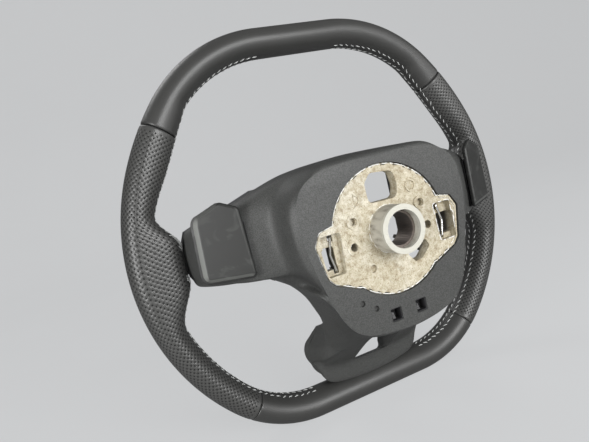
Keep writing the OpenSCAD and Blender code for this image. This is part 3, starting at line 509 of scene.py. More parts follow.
def cast_metal(colour):
    """Cast hub: cream skin with tan and brown speckles, and a bright machined ring round the bore. The
    boss's flank is grey with darker streaks. Painted shade darkens the deep pockets and windows, and
    painted shade blackens the arms near the rim and below the lower spoke.
    """
    kit = Kit("cast_metal")
    blotch = kit.noise(240.0, 9.0, Roughness=0.72)
    speck = kit.noise(900.0, 6.0, Roughness=0.8)
    slow = kit.noise(30.0, 3.0, Distortion=0.6)
    base = kit.ramp(blotch, (0.34, (0.30, 0.25, 0.17)), (0.43, (0.42, 0.375, 0.28)), (0.51, colour),
                    (0.62, (0.60, 0.57, 0.48)))
    grey = kit.ramp(slow, (0.36, (0.86, 0.83, 0.76)), (0.5, (0.96, 0.94, 0.89)), (0.62, (1.0, 1.0, 1.0)))
    stain = kit.ramp(speck, (0.36, (0.30, 0.24, 0.17)), (0.42, (0.70, 0.64, 0.54)),
                     (0.48, (1.0, 1.0, 1.0)))
    skin = kit.mix("MULTIPLY", 0.85, kit.mix("MULTIPLY", 1.0, base, grey), stain)
    x, y, z = kit.split(kit.place)
    radius = kit.math("SQRT", kit.math("ADD", kit.math("MULTIPLY", x, x), kit.math("MULTIPLY", z, z)))
    near = kit.math("LESS_THAN", radius, BORE_RADIUS)
    flank = kit.math("MULTIPLY", near, kit.math("GREATER_THAN", y, BORE_FLANK_Y))
    ring = kit.math("MULTIPLY", near, kit.math("GREATER_THAN", y, BORE_RING_Y))
    # The boss's flank: grey with darker streaks.
    flank_streaks = kit.ramp(kit.streaks((210.0, 90.0, 210.0), 5.0), (0.30, (0.17, 0.155, 0.13)),
                    (0.40, (0.34, 0.32, 0.27)), (0.55, (0.45, 0.43, 0.37)))
    # Painted shade: the casting darkens to near black behind the face, where its pockets and the
    # windows' inner walls lie in shade.
    painted_pocket_shade = kit.remap(y, From_Min=POCKET_SHADE_FROM_Y, From_Max=POCKET_SHADE_TO_Y, To_Min=0.94, To_Max=0.0)
    # Painted shade: near the rim and below the lower spoke the casting is painted black, where the arms
    # show through the shaded slits of the cover.
    painted_gap_shade = kit.math("MAXIMUM", kit.math("GREATER_THAN", kit.math("ABSOLUTE", x), GAP_SHADE_X),
                      kit.math("LESS_THAN", z, GAP_SHADE_Z))
    tone = skin
    for factor, over in ((flank, flank_streaks), (ring, (0.50, 0.49, 0.43, 1.0)),
                         (painted_pocket_shade, (0.07, 0.06, 0.05, 1.0)), (painted_gap_shade, (0.010, 0.010, 0.011, 1.0))):
        tone = kit.mix("MIX", factor, tone, over)
    kit.surface(Base_Color=tone, Metallic=kit.math("MULTIPLY", ring, 0.15), Roughness=0.55)
    kit.bump(kit.math("ADD", blotch, speck), 0.9, 0.0003)
    return kit.material


def brushed(name, colour, roughness, scale=(900.0, 900.0, 60.0), metallic=1.0):
    """Worked steel: fine streaks along one axis."""
    kit = Kit(name)
    streak = kit.streaks(scale, 4.0)
    kit.surface(Base_Color=kit.ramp(streak, (0.25, scaled(colour, 0.7)), (0.75, colour)),
                Metallic=metallic, Roughness=roughness)
    kit.bump(streak, 0.4, 0.00005)
    return kit.material


def smudged(name, colour):
    """Satin plastic with faint finger marks, and a painted highlight on the edges where the edge
    attribute says so.
    """
    kit = Kit(name)
    marks = kit.noise(75.0, 2.0, Distortion=1.2)
    edge = kit.add("ShaderNodeAttribute", attribute_name="edge").outputs["Fac"]
    tone = kit.ramp(marks, (0.35, colour), (0.55, scaled(colour, 1.1)), (0.65, scaled(colour, 1.9)))
    # Painted highlight: a much lighter colour where the edge attribute is set, for light caught on the
    # paddle's sloping edge and the backing's lip.
    painted_edge_highlight = (*scaled(colour, 8.5), 1.0)
    gloss = kit.ramp(marks, (0.4, (0.44, 0.44, 0.44)), (0.72, (0.55, 0.55, 0.55)))
    kit.surface(Base_Color=kit.mix("MIX", edge, tone, painted_edge_highlight), Roughness=gloss)
    kit.shader.inputs["Specular IOR Level"].default_value = 0.4
    kit.bump(kit.noise(1600.0, 2.0), 0.5, 0.00002)
    return kit.material


def thread_finish(colour):
    """Twisted thread: fine diagonal ribs."""
    kit = Kit("sewing_thread")
    twist = kit.texture("Wave", wave_type="BANDS", bands_direction="DIAGONAL",
                        Scale=900.0, Distortion=1.0)["Fac"]
    kit.surface(Base_Color=kit.ramp(twist, (0.0, scaled(colour, 0.75)), (1.0, colour)), Roughness=0.6)
    kit.shader.inputs["Sheen Weight"].default_value = 0.2
    kit.bump(twist, 0.6, 0.0001)
    return kit.material


# Leather

# The angle that half a seam's groove takes up on the rim's side, and how the leather rolls down into it:
# the rings close to a seam, the roll's width and where the even rings begin, in millimetres, and the
# roll's depth as a share of the thickness
GROOVE_TURN = math.degrees(SEAM_GAP / 2 / SIDE_RADIUS)
ROLL_RINGS = np.array([0.12, 0.3, 0.55, 0.85, 1.2, 1.6])
ROLL_WIDTH, ROLL_CLEAR, ROLL_DEPTH = 1.6, 1.7, 0.95
# Where the pillows between the pits fade out: a share of the girth from the seam, and a length in
# millimetres from the panel's ends, of which a share stays plain
PLAIN_FROM, PLAIN_FADE, END_FADE, END_PLAIN = 0.07, 0.02, 4, 0.6


def close_ends(headings, both):
    """Headings with a few more close to the seams, where the leather rolls down."""
    length = rim_lengths(headings) / MM
    wanted = np.concatenate([length[-1] - ROLL_RINGS, ROLL_RINGS if both else []])
    middle = length[(length < length[-1] - ROLL_CLEAR) & ((length > ROLL_CLEAR) | (not both))]
    places = np.unique(np.concatenate([[0.0, length[-1]], middle, wanted]))
    return np.interp(places, length, headings)


def panel(name, headings, sides, sizes, pits=False):
    """One leather panel as a closed shell, with its ends tucked into the seams."""
    headings = close_ends(headings, pits)
    shares = np.arange(sizes.section_points) / sizes.section_points
    thickness = sizes.leather_thickness / MM
    length = rim_lengths(headings) / MM
    ends = np.minimum(length, length[-1] - length) if pits else length[-1] - length
    roll = np.clip(1 - ends / ROLL_WIDTH, 0.0, 1.0)
    inset = thickness * ROLL_DEPTH * (1 - np.sqrt(1 - roll * roll))
    side = np.full(len(headings), sides[-1])
    if len(sides) == 2:
        side = np.concatenate([np.full(len(headings), sides[0]), side])
        headings, inset, ends = (np.concatenate([a[::-1], a]) for a in (headings, inset, ends))
        length = np.concatenate([-length[::-1], length])
    angles = girth_angles(headings, shares)
    outer = rim_surface(headings[:, None], angles, inset[:, None], side[:, None])
    inner = rim_surface(headings[::-1, None], angles[::-1], thickness, side[::-1, None])
    rows, columns = angles.shape
    a, j = np.divmod(np.arange(2 * rows * columns), columns)
    b, k = (a + 1) % (2 * rows), (j + 1) % columns
    faces = np.stack([a * columns + j, a * columns + k, b * columns + k, b * columns + j], axis=1)
    u = np.concatenate([length / (sizes.pit_step / MM), np.zeros(rows)])[np.stack([a, a, b, b], axis=1)]
    v = np.stack([j, j + 1, j + 1, j], axis=1) / columns * sizes.pit_columns
    uvs = np.stack([(u + v) / 2, (u - v) / 2], axis=-1)
    off_seam = np.abs(shares - 0.5)
    mask = (smooth((off_seam[None, :] - PLAIN_FROM) / PLAIN_FADE)
            * smooth(ends[:, None] / END_FADE - END_PLAIN))
    pitted = np.concatenate([mask.ravel(), np.zeros(rows * columns)])
    obj = new_object(name, np.concatenate([outer, inner]).reshape(-1, 3), faces, uvs, {"pits": pitted})
    if volume(obj) < 0:
        obj.data.flip_normals()
    obj.data.shade_smooth()
    return obj


def volume(obj):
    """An object's volume, negative where its faces look inwards."""
    bm = bmesh.new()
    bm.from_mesh(obj.data)
    size = bm.calc_volume(signed=True)
    bm.free()
    return size


class WHEEL_OT_smooth_leather(bpy.types.Operator):
    """Make the smooth leather panels at the top and the bottom of the rim"""
    bl_idname = "wheel.smooth_leather"
    bl_label = "Smooth Leather"

    def execute(self, context):
        sizes, colours = context.scene.wheel_sizes, context.scene.wheel_colours
        material = grained("smooth_leather", colours.leather, roughness=0.40, grain=0.0006,
                           depth=0.00003, patches=0.06, spread=0.03)
        for name, start, end in (("leather_top", 0.0, UPPER_SEAM - GROOVE_TURN),
                                 ("leather_bottom", 180.0, LOWER_SEAM + GROOVE_TURN)):
            headings = even_headings(start, end, sizes.ring_step)
            obj = panel(name + "_skin", headings, (-1.0, 1.0), sizes)
            dress(obj, material)
            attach(obj, "wheel")
            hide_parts(name)
        return {"FINISHED"}


class WHEEL_OT_grips(bpy.types.Operator):
    """Make the perforated grips with their roots onto the side spokes"""
    bl_idname = "wheel.grips"
    bl_label = "Grips"

    def execute(self, context):
        sizes, colours = context.scene.wheel_sizes, context.scene.wheel_colours
        material = perforated_leather(scaled(colours.leather, 1.3))
        headings = even_headings(UPPER_SEAM + GROOVE_TURN, LOWER_SEAM - GROOVE_TURN, sizes.ring_step)
        for word, side in SIDES:
            obj = panel("grip_skin_" + word, headings, (side,), sizes, pits=True)
            dress(obj, material)
            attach(obj, "wheel")
            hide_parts("grip_" + word)
        return {"FINISHED"}


# Geometry Nodes: a small shape on each point, turned by the point's own axes

def scatter_tree(name, material):
    """A node tree that puts a small shape on every point and turns it to the stored axes."""
    tree = bpy.data.node_groups.new(name, "GeometryNodeTree")
    sockets, add, link = tree.interface.new_socket, tree.nodes.new, tree.links.new
    sockets("Geometry", in_out="INPUT", socket_type="NodeSocketGeometry")
    for label in ("Shape Length", "Shape Radius"):
        sockets(label, in_out="INPUT", socket_type="NodeSocketFloat").subtype = "DISTANCE"
    sockets("Geometry", in_out="OUTPUT", socket_type="NodeSocketGeometry")
    start, end = add("NodeGroupInput"), add("NodeGroupOutput")
    points, place = add("GeometryNodeMeshToPoints"), add("GeometryNodeInstanceOnPoints")
    link(start.outputs["Geometry"], points.inputs["Mesh"])
    link(points.outputs["Points"], place.inputs["Points"])
    turn = None
    for axis, key in (("Z", "normal_axis"), ("X", "run_axis")):
        read = add("GeometryNodeInputNamedAttribute")
        read.data_type = "FLOAT_VECTOR"
        read.inputs["Name"].default_value = key
        align = add("FunctionNodeAlignRotationToVector")
        align.axis = axis
        if turn is not None:
            align.pivot_axis = "Z"
            link(turn, align.inputs["Rotation"])
        link(read.outputs["Attribute"], align.inputs["Vector"])
        turn = align.outputs["Rotation"]
    link(turn, place.inputs["Rotation"])
    realize, paint = add("GeometryNodeRealizeInstances"), add("GeometryNodeSetMaterial")
    paint.inputs["Material"].default_value = material
    link(place.outputs["Instances"], realize.inputs["Geometry"])
    link(realize.outputs["Geometry"], paint.inputs["Geometry"])
    link(paint.outputs["Geometry"], end.inputs["Geometry"])
    return tree, start.outputs, place.inputs["Instance"]


def pit_tree(material):
    """Perforations: a thin round plug on every point."""
    tree, given, instance = scatter_tree("Perforations", material)
    plug = tree.nodes.new("GeometryNodeMeshCylinder")
    plug.inputs["Vertices"].default_value = 8
    tree.links.new(given["Shape Radius"], plug.inputs["Radius"])
    tree.links.new(given["Shape Length"], plug.inputs["Depth"])
    tree.links.new(plug.outputs["Mesh"], instance)
    return tree


def stitch_tree(material):
    """Stitches: a short thread along X with rounded ends that bends into the leather."""
    tree, given, instance = scatter_tree("Stitches", material)
    add, link = tree.nodes.new, tree.links.new

    def times(label, factor):
        node = add("ShaderNodeMath")
        node.operation = "MULTIPLY"
        link(given[label], node.inputs[0])
        node.inputs[1].default_value = factor
        return node.outputs[0]

    line, ring = add("GeometryNodeCurveQuadraticBezier"), add("GeometryNodeCurvePrimitiveCircle")
    line.inputs["Resolution"].default_value = 6
    ring.inputs["Resolution"].default_value = 6
    for target, along, rise in (("Start", -0.5, -1.2), ("Middle", 0.0, 2.0), ("End", 0.5, -1.2)):
        corner = add("ShaderNodeCombineXYZ")
        link(times("Shape Length", along), corner.inputs["X"])
        link(times("Shape Radius", rise), corner.inputs["Z"])
        link(corner.outputs[0], line.inputs[target])
    link(given["Shape Radius"], ring.inputs["Radius"])
    tube = add("GeometryNodeCurveToMesh")
    tube.inputs["Fill Caps"].default_value = True
    link(line.outputs["Curve"], tube.inputs["Curve"])
    link(ring.outputs["Curve"], tube.inputs["Profile Curve"])
    link(tube.outputs["Mesh"], instance)
    return tree


def scatter(name, points, normals, runs, tree, length, radius):
    """Runs a scatter tree over points and bakes the result into one mesh."""
    obj = new_object(name, points, [], values={"normal_axis": normals, "run_axis": runs})
    modifier = obj.modifiers.new("scatter", "NODES")
    modifier.node_group = tree
    values = {"Shape Length": length, "Shape Radius": radius}
    for item in tree.interface.items_tree:
        if item.name in values:
            modifier[item.identifier] = values[item.name]
    paint = next(n for n in tree.nodes if n.bl_idname == "GeometryNodeSetMaterial")
    material = paint.inputs["Material"].default_value
    apply_modifiers(obj)
    dress(obj, material)
    obj.data.shade_smooth()
    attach(obj, "wheel")


# How the pits lie: the share of the girth that each side of the seam stays plain, how deep their plugs
# sit in the leather in millimetres, and the plugs' thickness
PLAIN_SHARE = 0.085
PIT_SINK = 0.06
PIT_DEPTH = 0.16 * MM


class WHEEL_OT_perforations(bpy.types.Operator):
    """Punch the diamond lattice of small holes into the grips"""
    bl_idname = "wheel.perforations"
    bl_label = "Perforations"

    def execute(self, context):
        sizes = context.scene.wheel_sizes
        tree = pit_tree(grained("pit_shadow", (0.004, 0.004, 0.004), roughness=0.85))
        fine = np.linspace(UPPER_SEAM + GROOVE_TURN, LOWER_SEAM - GROOVE_TURN, 4000)
        length = rim_lengths(fine)
        rows = np.arange(2, int(length[-1] / sizes.pit_step) - 1)
        columns = np.arange(sizes.pit_columns)
        i, j = [a.ravel() for a in np.meshgrid(rows, columns, indexing="ij")]
        row_headings = np.interp(rows * sizes.pit_step, length, fine)
        angle = girth_angles(row_headings, columns / sizes.pit_columns)[i - rows[0], j]
        keep = ((i + j) % 2 == 0) & (np.abs(j / sizes.pit_columns - 0.5) > PLAIN_SHARE)
        heading, angle = row_headings[i - rows[0]][keep], angle[keep]
        for word, side in SIDES:
            points = rim_surface(heading, angle, PIT_SINK, side)
            normals = surface_normals(heading, angle, side)
            runs = np.cross(normals, (0.0, 1.0, 0.0))
            scatter("grip_pits_" + word, points, normals, runs, tree, PIT_DEPTH, sizes.pit_radius)
        return {"FINISHED"}


# Stitches and seams. Headings are in degrees; the seam stops short of each spoke's root, and of the foot
# of the rim within FOOT_SIDE of its middle.
FOOT_SIDE = 49.0 * MM
STITCH_STOP, SEAM_STOP = 4.5, 5.2
FAN_TURNS = np.linspace(4.6, 8.6, 7)
SEAM_STEP, SEAM_RADIUS = 2.5 * MM, 0.32 * MM
# How far the stitches of a row and of a root's fan lean, how much the lean varies, and how far a stitch
# strays across its row in millimetres
ROW_LEAN, FAN_LEAN, LEAN_SPREAD, STRAY = 0.42, 0.9, 0.36, 0.8
FAN_OFFSET, FAN_STRETCH = 1.12, 1.4


def seam_headings(start, end, step, stop):
    """Headings along the seam on the rim's inner side, evenly spaced on the leather itself."""
    fine = np.linspace(start, end, 3000)
    length = lengths_along(rim_surface(fine, 180.0, 0.0, 1.0))
    steps = int(length[-1] / step)
    heading = np.interp((np.arange(steps) + 0.5) * length[-1] / steps, length, fine)
    clear_of_foot = rim_surface(heading, 180.0, 0.0, 1.0)[:, 0] > FOOT_SIDE
    return heading[(np.abs(heading - SPOKE_HEADING) > stop) & ((heading < 90) | clear_of_foot)]


def row_angle(heading, offset):
    """Angle round the section of a row of stitches that lies an offset from the seam, in metres."""
    root = root_share(heading)
    spread = abs(offset) / MM * (1.0 + 0.6 * root)
    share = (spread / (RIM_DEPTH / 2)) ** (1 + 0.8 * root)
    return 180.0 - math.copysign(1, offset) * np.degrees(np.arcsin(share))


class WHEEL_OT_stitches(bpy.types.Operator):
    """Sew the two rows of stitches and the seam along the inside of the rim"""
    bl_idname = "wheel.stitches"
    bl_label = "Stitches"

    def execute(self, context):
        sizes, colours = context.scene.wheel_sizes, context.scene.wheel_colours
        random = np.random.default_rng(3)
        tree = stitch_tree(thread_finish(colours.thread))
        even = seam_headings(1.0, 179.0, sizes.stitch_pitch, STITCH_STOP)
        fan = np.concatenate([SPOKE_HEADING - FAN_TURNS, SPOKE_HEADING + FAN_TURNS[:3]])
        rear, front = sizes.seam_shift + sizes.row_offset, sizes.seam_shift - sizes.row_offset
        for word, side in SIDES:
            for label, heading, offset, lean, stretch in (
                    ("rear", even, rear, ROW_LEAN, 1.0), ("front", even, front, -ROW_LEAN, 1.0),
                    ("root", fan, rear * FAN_OFFSET, FAN_LEAN, FAN_STRETCH)):
                angle = row_angle(heading, offset)
                points = rim_surface(heading, angle, 0.0, side)
                normals = surface_normals(heading, angle, side)
                ahead, behind = (rim_surface(near, row_angle(near, offset), 0.0, side)
                                 for near in (heading + 0.2, heading - 0.2))
                runs = unit(ahead - behind)
                tilt = lean + random.uniform(-LEAN_SPREAD, LEAN_SPREAD, len(heading))
                slant = np.cross(normals, runs) * tilt[:, None] * side
                points = points + slant * random.uniform(-STRAY, STRAY, len(heading))[:, None] * MM
                scatter("stitches_%s_%s" % (label, word), points, normals, runs + slant, tree,
                        sizes.stitch_length * stretch, sizes.thread_radius)
        dark = grained("seam_thread", (0.006, 0.006, 0.006), roughness=0.8)
        seam = seam_headings(0.0, 179.0, SEAM_STEP, SEAM_STOP)
        for word, side in SIDES:
            for part, heading in (("upper", seam[seam < SPOKE_HEADING]),
                                  ("lower", seam[seam > SPOKE_HEADING])):
                obj = seam_bead("seam_%s_%s" % (part, word), heading, side, sizes.seam_shift)
                dress(obj, dark)
                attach(obj, "wheel")
        return {"FINISHED"}


def six_sided(points, radius, sideways, upward, flatness):
    """Rings of six points round a line, for its radius, two axes and the ring's flatness."""
    turns = np.radians(np.arange(6) * 60.0)[None, :, None]
    return points[:, None, :] + radius * (np.cos(turns) * sideways[:, None, :]
                                          + flatness * np.sin(turns) * upward)


def seam_bead(name, heading, side, shift):
    """The dark line where the leather's two edges meet."""
    angle = row_angle(heading, shift)
    points = rim_surface(heading, angle, 0.0, side)
    normals = surface_normals(heading, angle, side)
    sideways = np.cross(unit(np.gradient(points, axis=0)), normals)
    obj = loft(name, six_sided(points, SEAM_RADIUS, sideways, normals[:, None, :], 0.5))
    obj.data.shade_smooth()
    return obj


# Rear cover: half outlines of [x, z] in millimetres at three depths, which are the hub face at the back,
# the middle depth and the open side. The growth tables give, for a depth in front of the face, how far a
# part of the outline has moved from one to the next.

COVER_BACK = 92.0
PARTING_BACK = 8.0
COVER_DEPTH = COVER_BACK - PARTING_BACK
MIDDLE_DEPTH = 47.0
WALL = 2.5
FACE_LINE = [
    (0, 55), (27, 55.5), (47, 53.5), (58, 49.5), (65.5, 43.5), (70, 35), (71.8, 25), (72, 15), (71, 5),
    (69.5, -4), (68, -12), (66.3, -19), (64.5, -26), (62.5, -33), (60.5, -40), (58, -47), (55, -54),
    (51, -60.5), (46, -66), (39.5, -70), (32, -72.5), (24, -74), (16, -75), (8, -75.7), (0, -76)]
MIDDLE_LINE = [
    (0, 61.5), (30, 60.3), (47, 59), (63, 56.6), (83, 51), (104, 43.5), (115, 36), (120, 26), (122, 9),
    (120, -5), (115, -12.5), (104, -14), (90, -16), (79, -22), (70, -29), (60.5, -41), (54.5, -55),
    (52, -66), (52, -74), (52, -81), (50, -87), (44, -91.5), (34, -94), (18, -95), (0, -95)]
BASE_LINE = [
    (0, 60), (30, 59.5), (46, 57.5), (66, 52), (89, 44.5), (ARM_TIP - 26, 38.5), (ARM_TIP - 5, 31),
    (ARM_TIP - 1, 22), (ARM_TIP, 8), (ARM_TIP - 1.2, -6), (ARM_TIP - 6, -14.5), (ARM_TIP - 22, -16),
    (90, -18), (78, -24), (67, -31), (56.5, -43), (49, -57), (45, -68), (45.5, -76), (51.5, -83.5),
    (57.5, -92), (57.5, -104), (52, -116.5), (41, LEG_TIP + 4.5), (0, LEG_TIP)]
ARM_FROM, ARM_TO, LEG_FROM, FOOT_FROM = 3, 13, 17, 22
FLANK_GROWTH = [(0, 0), (0.8, 0.3), (3.5, 0.6), (8, 0.8), (22, 0.92), (MIDDLE_DEPTH, 1)]
ARM_GROWTH = [(0, 0), (3.5, 0.08), (8, 0.12), (16, 0.18), (22, 0.26), (25.5, 0.4), (28, 0.56),
              (31, 0.7), (37, 0.86), (MIDDLE_DEPTH, 1)]
ARM_HEIGHT_GROWTH = [(0, 0), (8, 0.4), (22, 0.75), (31, 0.92), (MIDDLE_DEPTH, 1)]
LEG_GROWTH = [(0, 0), (3.5, 0.12), (16, 0.28), (28, 0.46), (37, 0.68), (MIDDLE_DEPTH, 1)]
LEG_WIDTH_GROWTH = [(0, 0), (16, 0.3), (37, 0.8), (MIDDLE_DEPTH, 1)]
TIP_GROWTH = [(MIDDLE_DEPTH, 0), (59, 0.42), (72, 0.76), (80, 0.93), (COVER_DEPTH, 1)]
WING_GROWTH = [(MIDDLE_DEPTH, 0), (53, 0.45), (59, 0.7), (68, 0.9), (78.5, 1)]
FOOT_GROWTH = [(MIDDLE_DEPTH, 0), (59, 0.22), (68, 0.39), (74, 0.51), (76.8, 0.6), (78.2, 0.72),
               (79.2, 0.88), (80, 0.97), (81, 1.02), (COVER_DEPTH, 1)]


def eased(depth, table):
    """Smooth monotone curve through a table of growth."""
    x, y = np.array(table, float).T
    if depth <= x[0]:
        return y[0]
    if depth >= x[-1]:
        return y[-1]
    h, slope = np.diff(x), np.diff(y) / np.diff(x)
    tangent = np.concatenate([[slope[0]], [
        0.0 if a * b <= 0 else 3 * (p + q) / ((2 * q + p) / a + (q + 2 * p) / b)
        for a, b, p, q in zip(slope[:-1], slope[1:], h[:-1], h[1:])], [slope[-1]]])
    k = int(np.searchsorted(x, depth) - 1)
    t = (depth - x[k]) / h[k]
    return ((2 * t ** 3 - 3 * t ** 2 + 1) * y[k] + (t ** 3 - 2 * t ** 2 + t) * h[k] * tangent[k]
            + (-2 * t ** 3 + 3 * t ** 2) * y[k + 1] + (t ** 3 - t ** 2) * h[k] * tangent[k + 1])


def cover_outline(depth, inset=0.0, fine=6):
    """The cover's outline at a depth in front of its back face, as a dense closed line."""
    half = []
    for i, (face, middle, base) in enumerate(zip(FACE_LINE, MIDDLE_LINE, BASE_LINE)):
        in_arm, in_leg = ARM_FROM <= i <= ARM_TO, i >= LEG_FROM
        if depth <= MIDDLE_DEPTH:
            wide = ARM_GROWTH if in_arm else LEG_WIDTH_GROWTH if in_leg else FLANK_GROWTH
            high = LEG_GROWTH if in_leg else ARM_HEIGHT_GROWTH if in_arm else FLANK_GROWTH
            start, end = face, middle
        else:
            wide = WING_GROWTH if in_leg else TIP_GROWTH
            high = TIP_GROWTH if not in_leg else FOOT_GROWTH if i >= FOOT_FROM else WING_GROWTH
            start, end = middle, base
        half.append(tuple(a + (b - a) * eased(depth, table)
                          for a, b, table in zip(start, end, (wide, high))))
    whole = np.array(half + [(-x, z) for x, z in half[-2:0:-1]])[::-1]
    return spline(shrunk(whole, inset), fine)


def quarter_turn(vectors):
    """Vectors turned clockwise by a right angle, so outwards from an anticlockwise outline."""
    return np.stack([vectors[:, 1], -vectors[:, 0]], axis=1)


def shrunk(points, distance):
    """A coarse outline with each side moved inwards, for anticlockwise points."""
    before = quarter_turn(unit(points - np.roll(points, 1, axis=0)))
    after = quarter_turn(unit(np.roll(points, -1, axis=0) - points))
    return points - (before + after) * distance / (1 + np.sum(before * after, axis=1))[:, None]


def spline(points, fine):
    """Closed Catmull-Rom curve through points."""
    p0, p1, p2, p3 = (np.roll(points, shift, axis=0) for shift in (1, 0, -1, -2))
    parts = [0.5 * (2 * p1 + (p2 - p0) * t + (2 * p0 - 5 * p1 + 4 * p2 - p3) * t ** 2
                    + (3 * p1 - p0 - 3 * p2 + p3) * t ** 3) for t in np.arange(fine) / fine]
    return np.stack(parts, axis=1).reshape(-1, 2)


def grown(points, distance):
    """A dense closed outline moved outwards, for anticlockwise points."""
    return points + distance * quarter_turn(tangents(points))


def rounded(points, radius, fine=6):
    """A closed outline with its corners rounded by one radius, or by a list of one for each."""
    points = [np.array(p, float) for p in points]
    radii = radius if isinstance(radius, list) else [radius] * len(points)
    line = []
    for i, b in enumerate(points):
        a, c, r = points[i - 1], points[(i + 1) % len(points)], radii[i]
        u, v = (a - b) / np.linalg.norm(a - b), (c - b) / np.linalg.norm(c - b)
        half = math.acos(max(-1, min(1, float(u @ v)))) / 2
        if half > math.radians(88):
            line.append(b)
            continue
        centre = b + (u + v) / np.linalg.norm(u + v) * r / math.sin(half)
        start, end = b + u * r / math.tan(half) - centre, b + v * r / math.tan(half) - centre
        first = math.atan2(start[1], start[0])
        turn = (math.atan2(end[1], end[0]) - first + 3 * math.pi) % (2 * math.pi) - math.pi
        line += [centre + r * np.array([math.cos(a), math.sin(a)])
                 for a in (first + turn * k / fine for k in range(fine + 1))]
    return np.array(line)


# The cover's openings, in millimetres; each CUT gives the depths from which and to which a block reaches
OPENING_R, OPENING_CUT = 49.5, (70, 100)
LOBE_R, LOBE_CUT = 3, (69.7, 100.3)
LOBE = [(20, -38), (36, -36), (55, -27.5), (59.5, -22), (64, 3), (58.5, 12.5), (46, 15), (20, 22)]
WINDOW_R, WINDOW_CUT = 3, (-16, 70)
WINDOW = [(-19, -118.5), (19, -118.5), (17, -84), (-17, -84)]
TUBE_R, TUBE_BLOCK, TUBE_INSET, TUBE_HALF = 4, (-14, 68), 0.8, 30
WINDOW_TUBE = [(-21.7, -121), (21.7, -121), (19.3, -81.5), (-19.3, -81.5)]
WINDOW_TILT, WINDOW_HINGE = 15.0, (13.0, -118.5)
PARTING = [(40, 90), (40, -66), (18, -76), (15, -90), (PARTING_BACK, -114), (PARTING_BACK, -150)]
TUBE_END = [(70, -60), (70, -150), (-7, -150), (-7, -121), (-2, -110), (4, -98), (11, -86), (16, -70)]
AIRBAG_HALF = 70.0
AIRBAG_SPACE = PARTING + [(-60, -150), (-60, 90)]
CLIP_Z, CLIP_GAP, CLIP_W, CLIP_H, CLIP_R, CLIP_CUT = -63.2, 22.8, 9.8, 10.4, 0.8, (84, 95)
BLIND_HOLES, BLIND_R, BLIND_CUT = ((37.6, -46.7), (27.3, -53.6)), 2.3, (COVER_BACK - 2.0, 95)
BASE_PLAN, BASE_R, BASE_CUT = [(101, -8), (116, -8), (116, 32), (101, 32)], 0.6, (30, 80)
COVER_DEPTHS = np.concatenate([
    [0, 0.3, 0.8, 1.6, 2.6, 3.8, 5.2, 7], np.arange(9, 46, 2.0), np.arange(47, 76, 2.5),
    np.arange(76.5, 82.1, 0.5), [COVER_DEPTH]])
INNER_DEPTHS = np.concatenate([[0, 3, 6], np.arange(10, 78, 4.0), [78.5, 79.5, 81, COVER_DEPTH]])


def circle_line(centre, radius, points=96):
    """A circle as a closed outline."""
    turn = np.radians(np.arange(points) * 360.0 / points)
    return centre + radius * np.stack([np.cos(turn), np.sin(turn)], axis=1)


def tilted(obj):
    """Tilts a block of the lower window about the foot of the spoke."""
    foot = Vector((0.0, (WINDOW_HINGE[0] - SEAT_BACK) * MM, WINDOW_HINGE[1] * MM))
    turn = Matrix.Rotation(math.radians(WINDOW_TILT), 4, "X")
    obj.data.transform(Matrix.Translation(foot) @ turn @ Matrix.Translation(-foot))
    return obj


def cover_solid(name, depths, inset, extra=0.0):
    """The cover as a full block, shrunk by an inset and lengthened at its open side by an extra."""
    rings = []
    for depth in depths:
        line = cover_outline(depth, inset)
        rings.append(np.insert(line, 1, COVER_BACK - depth - inset - SEAT_BACK, axis=1) * MM)
    if extra:
        rings.append(rings[-1] - (0, extra * MM, 0))
    return loft(name, rings)


class WHEEL_OT_rear_cover(bpy.types.Operator):
    """Mould the rear cover with its openings"""
    bl_idname = "wheel.rear_cover"
    bl_label = "Rear Cover"

    def execute(self, context):
        colours = context.scene.wheel_colours
        cover = cover_solid("rear_cover_shell", COVER_DEPTHS, 0.0)
        carve(cover, cover_solid("inner", INNER_DEPTHS, WALL, extra=3.0))
        carve(cover, prism("place", AIRBAG_SPACE, -AIRBAG_HALF, AIRBAG_HALF, axis=0))
        hub = prism("hub", circle_line((0, 0), OPENING_R), *OPENING_CUT)
        for side in (-1, 1):
            lobe = [(side * x, z) for x, z in LOBE[::side]]
            carve(hub, prism("lobe", rounded(lobe, LOBE_R), *LOBE_CUT), "UNION")
        carve(cover, hub)
        tube = tilted(prism("tube", rounded(WINDOW_TUBE, TUBE_R), *TUBE_BLOCK))
        carve(tube, cover_solid("keep", INNER_DEPTHS, TUBE_INSET), "INTERSECT")
        carve(tube, prism("tube_end", TUBE_END, -TUBE_HALF, TUBE_HALF, axis=0), "INTERSECT")
        carve(cover, tube, "UNION")
        carve(cover, tilted(prism("window", rounded(WINDOW, WINDOW_R), *WINDOW_CUT)))
        for x in (-CLIP_GAP / 2, CLIP_GAP / 2):
            square = [(x + i * CLIP_W / 2, CLIP_Z + j * CLIP_H / 2)
                      for i, j in ((-1, -1), (1, -1), (1, 1), (-1, 1))]
            carve(cover, prism("clip", rounded(square, CLIP_R, 3), *CLIP_CUT))
        for place in BLIND_HOLES:
            carve(cover, prism("blind", circle_line(place, BLIND_R, 32), *BLIND_CUT))
        for side in (-1, 1):
            plan = [(side * x, z) for x, z in BASE_PLAN]
            carve(cover, prism("slot", rounded(plan, BASE_R, 3), *BASE_CUT))
        shade(cover, 32)
        dress(cover, cover_finish("cover_plastic", colours.cover))
        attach(cover, "wheel")
        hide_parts("rear_cover")
        return {"FINISHED"}


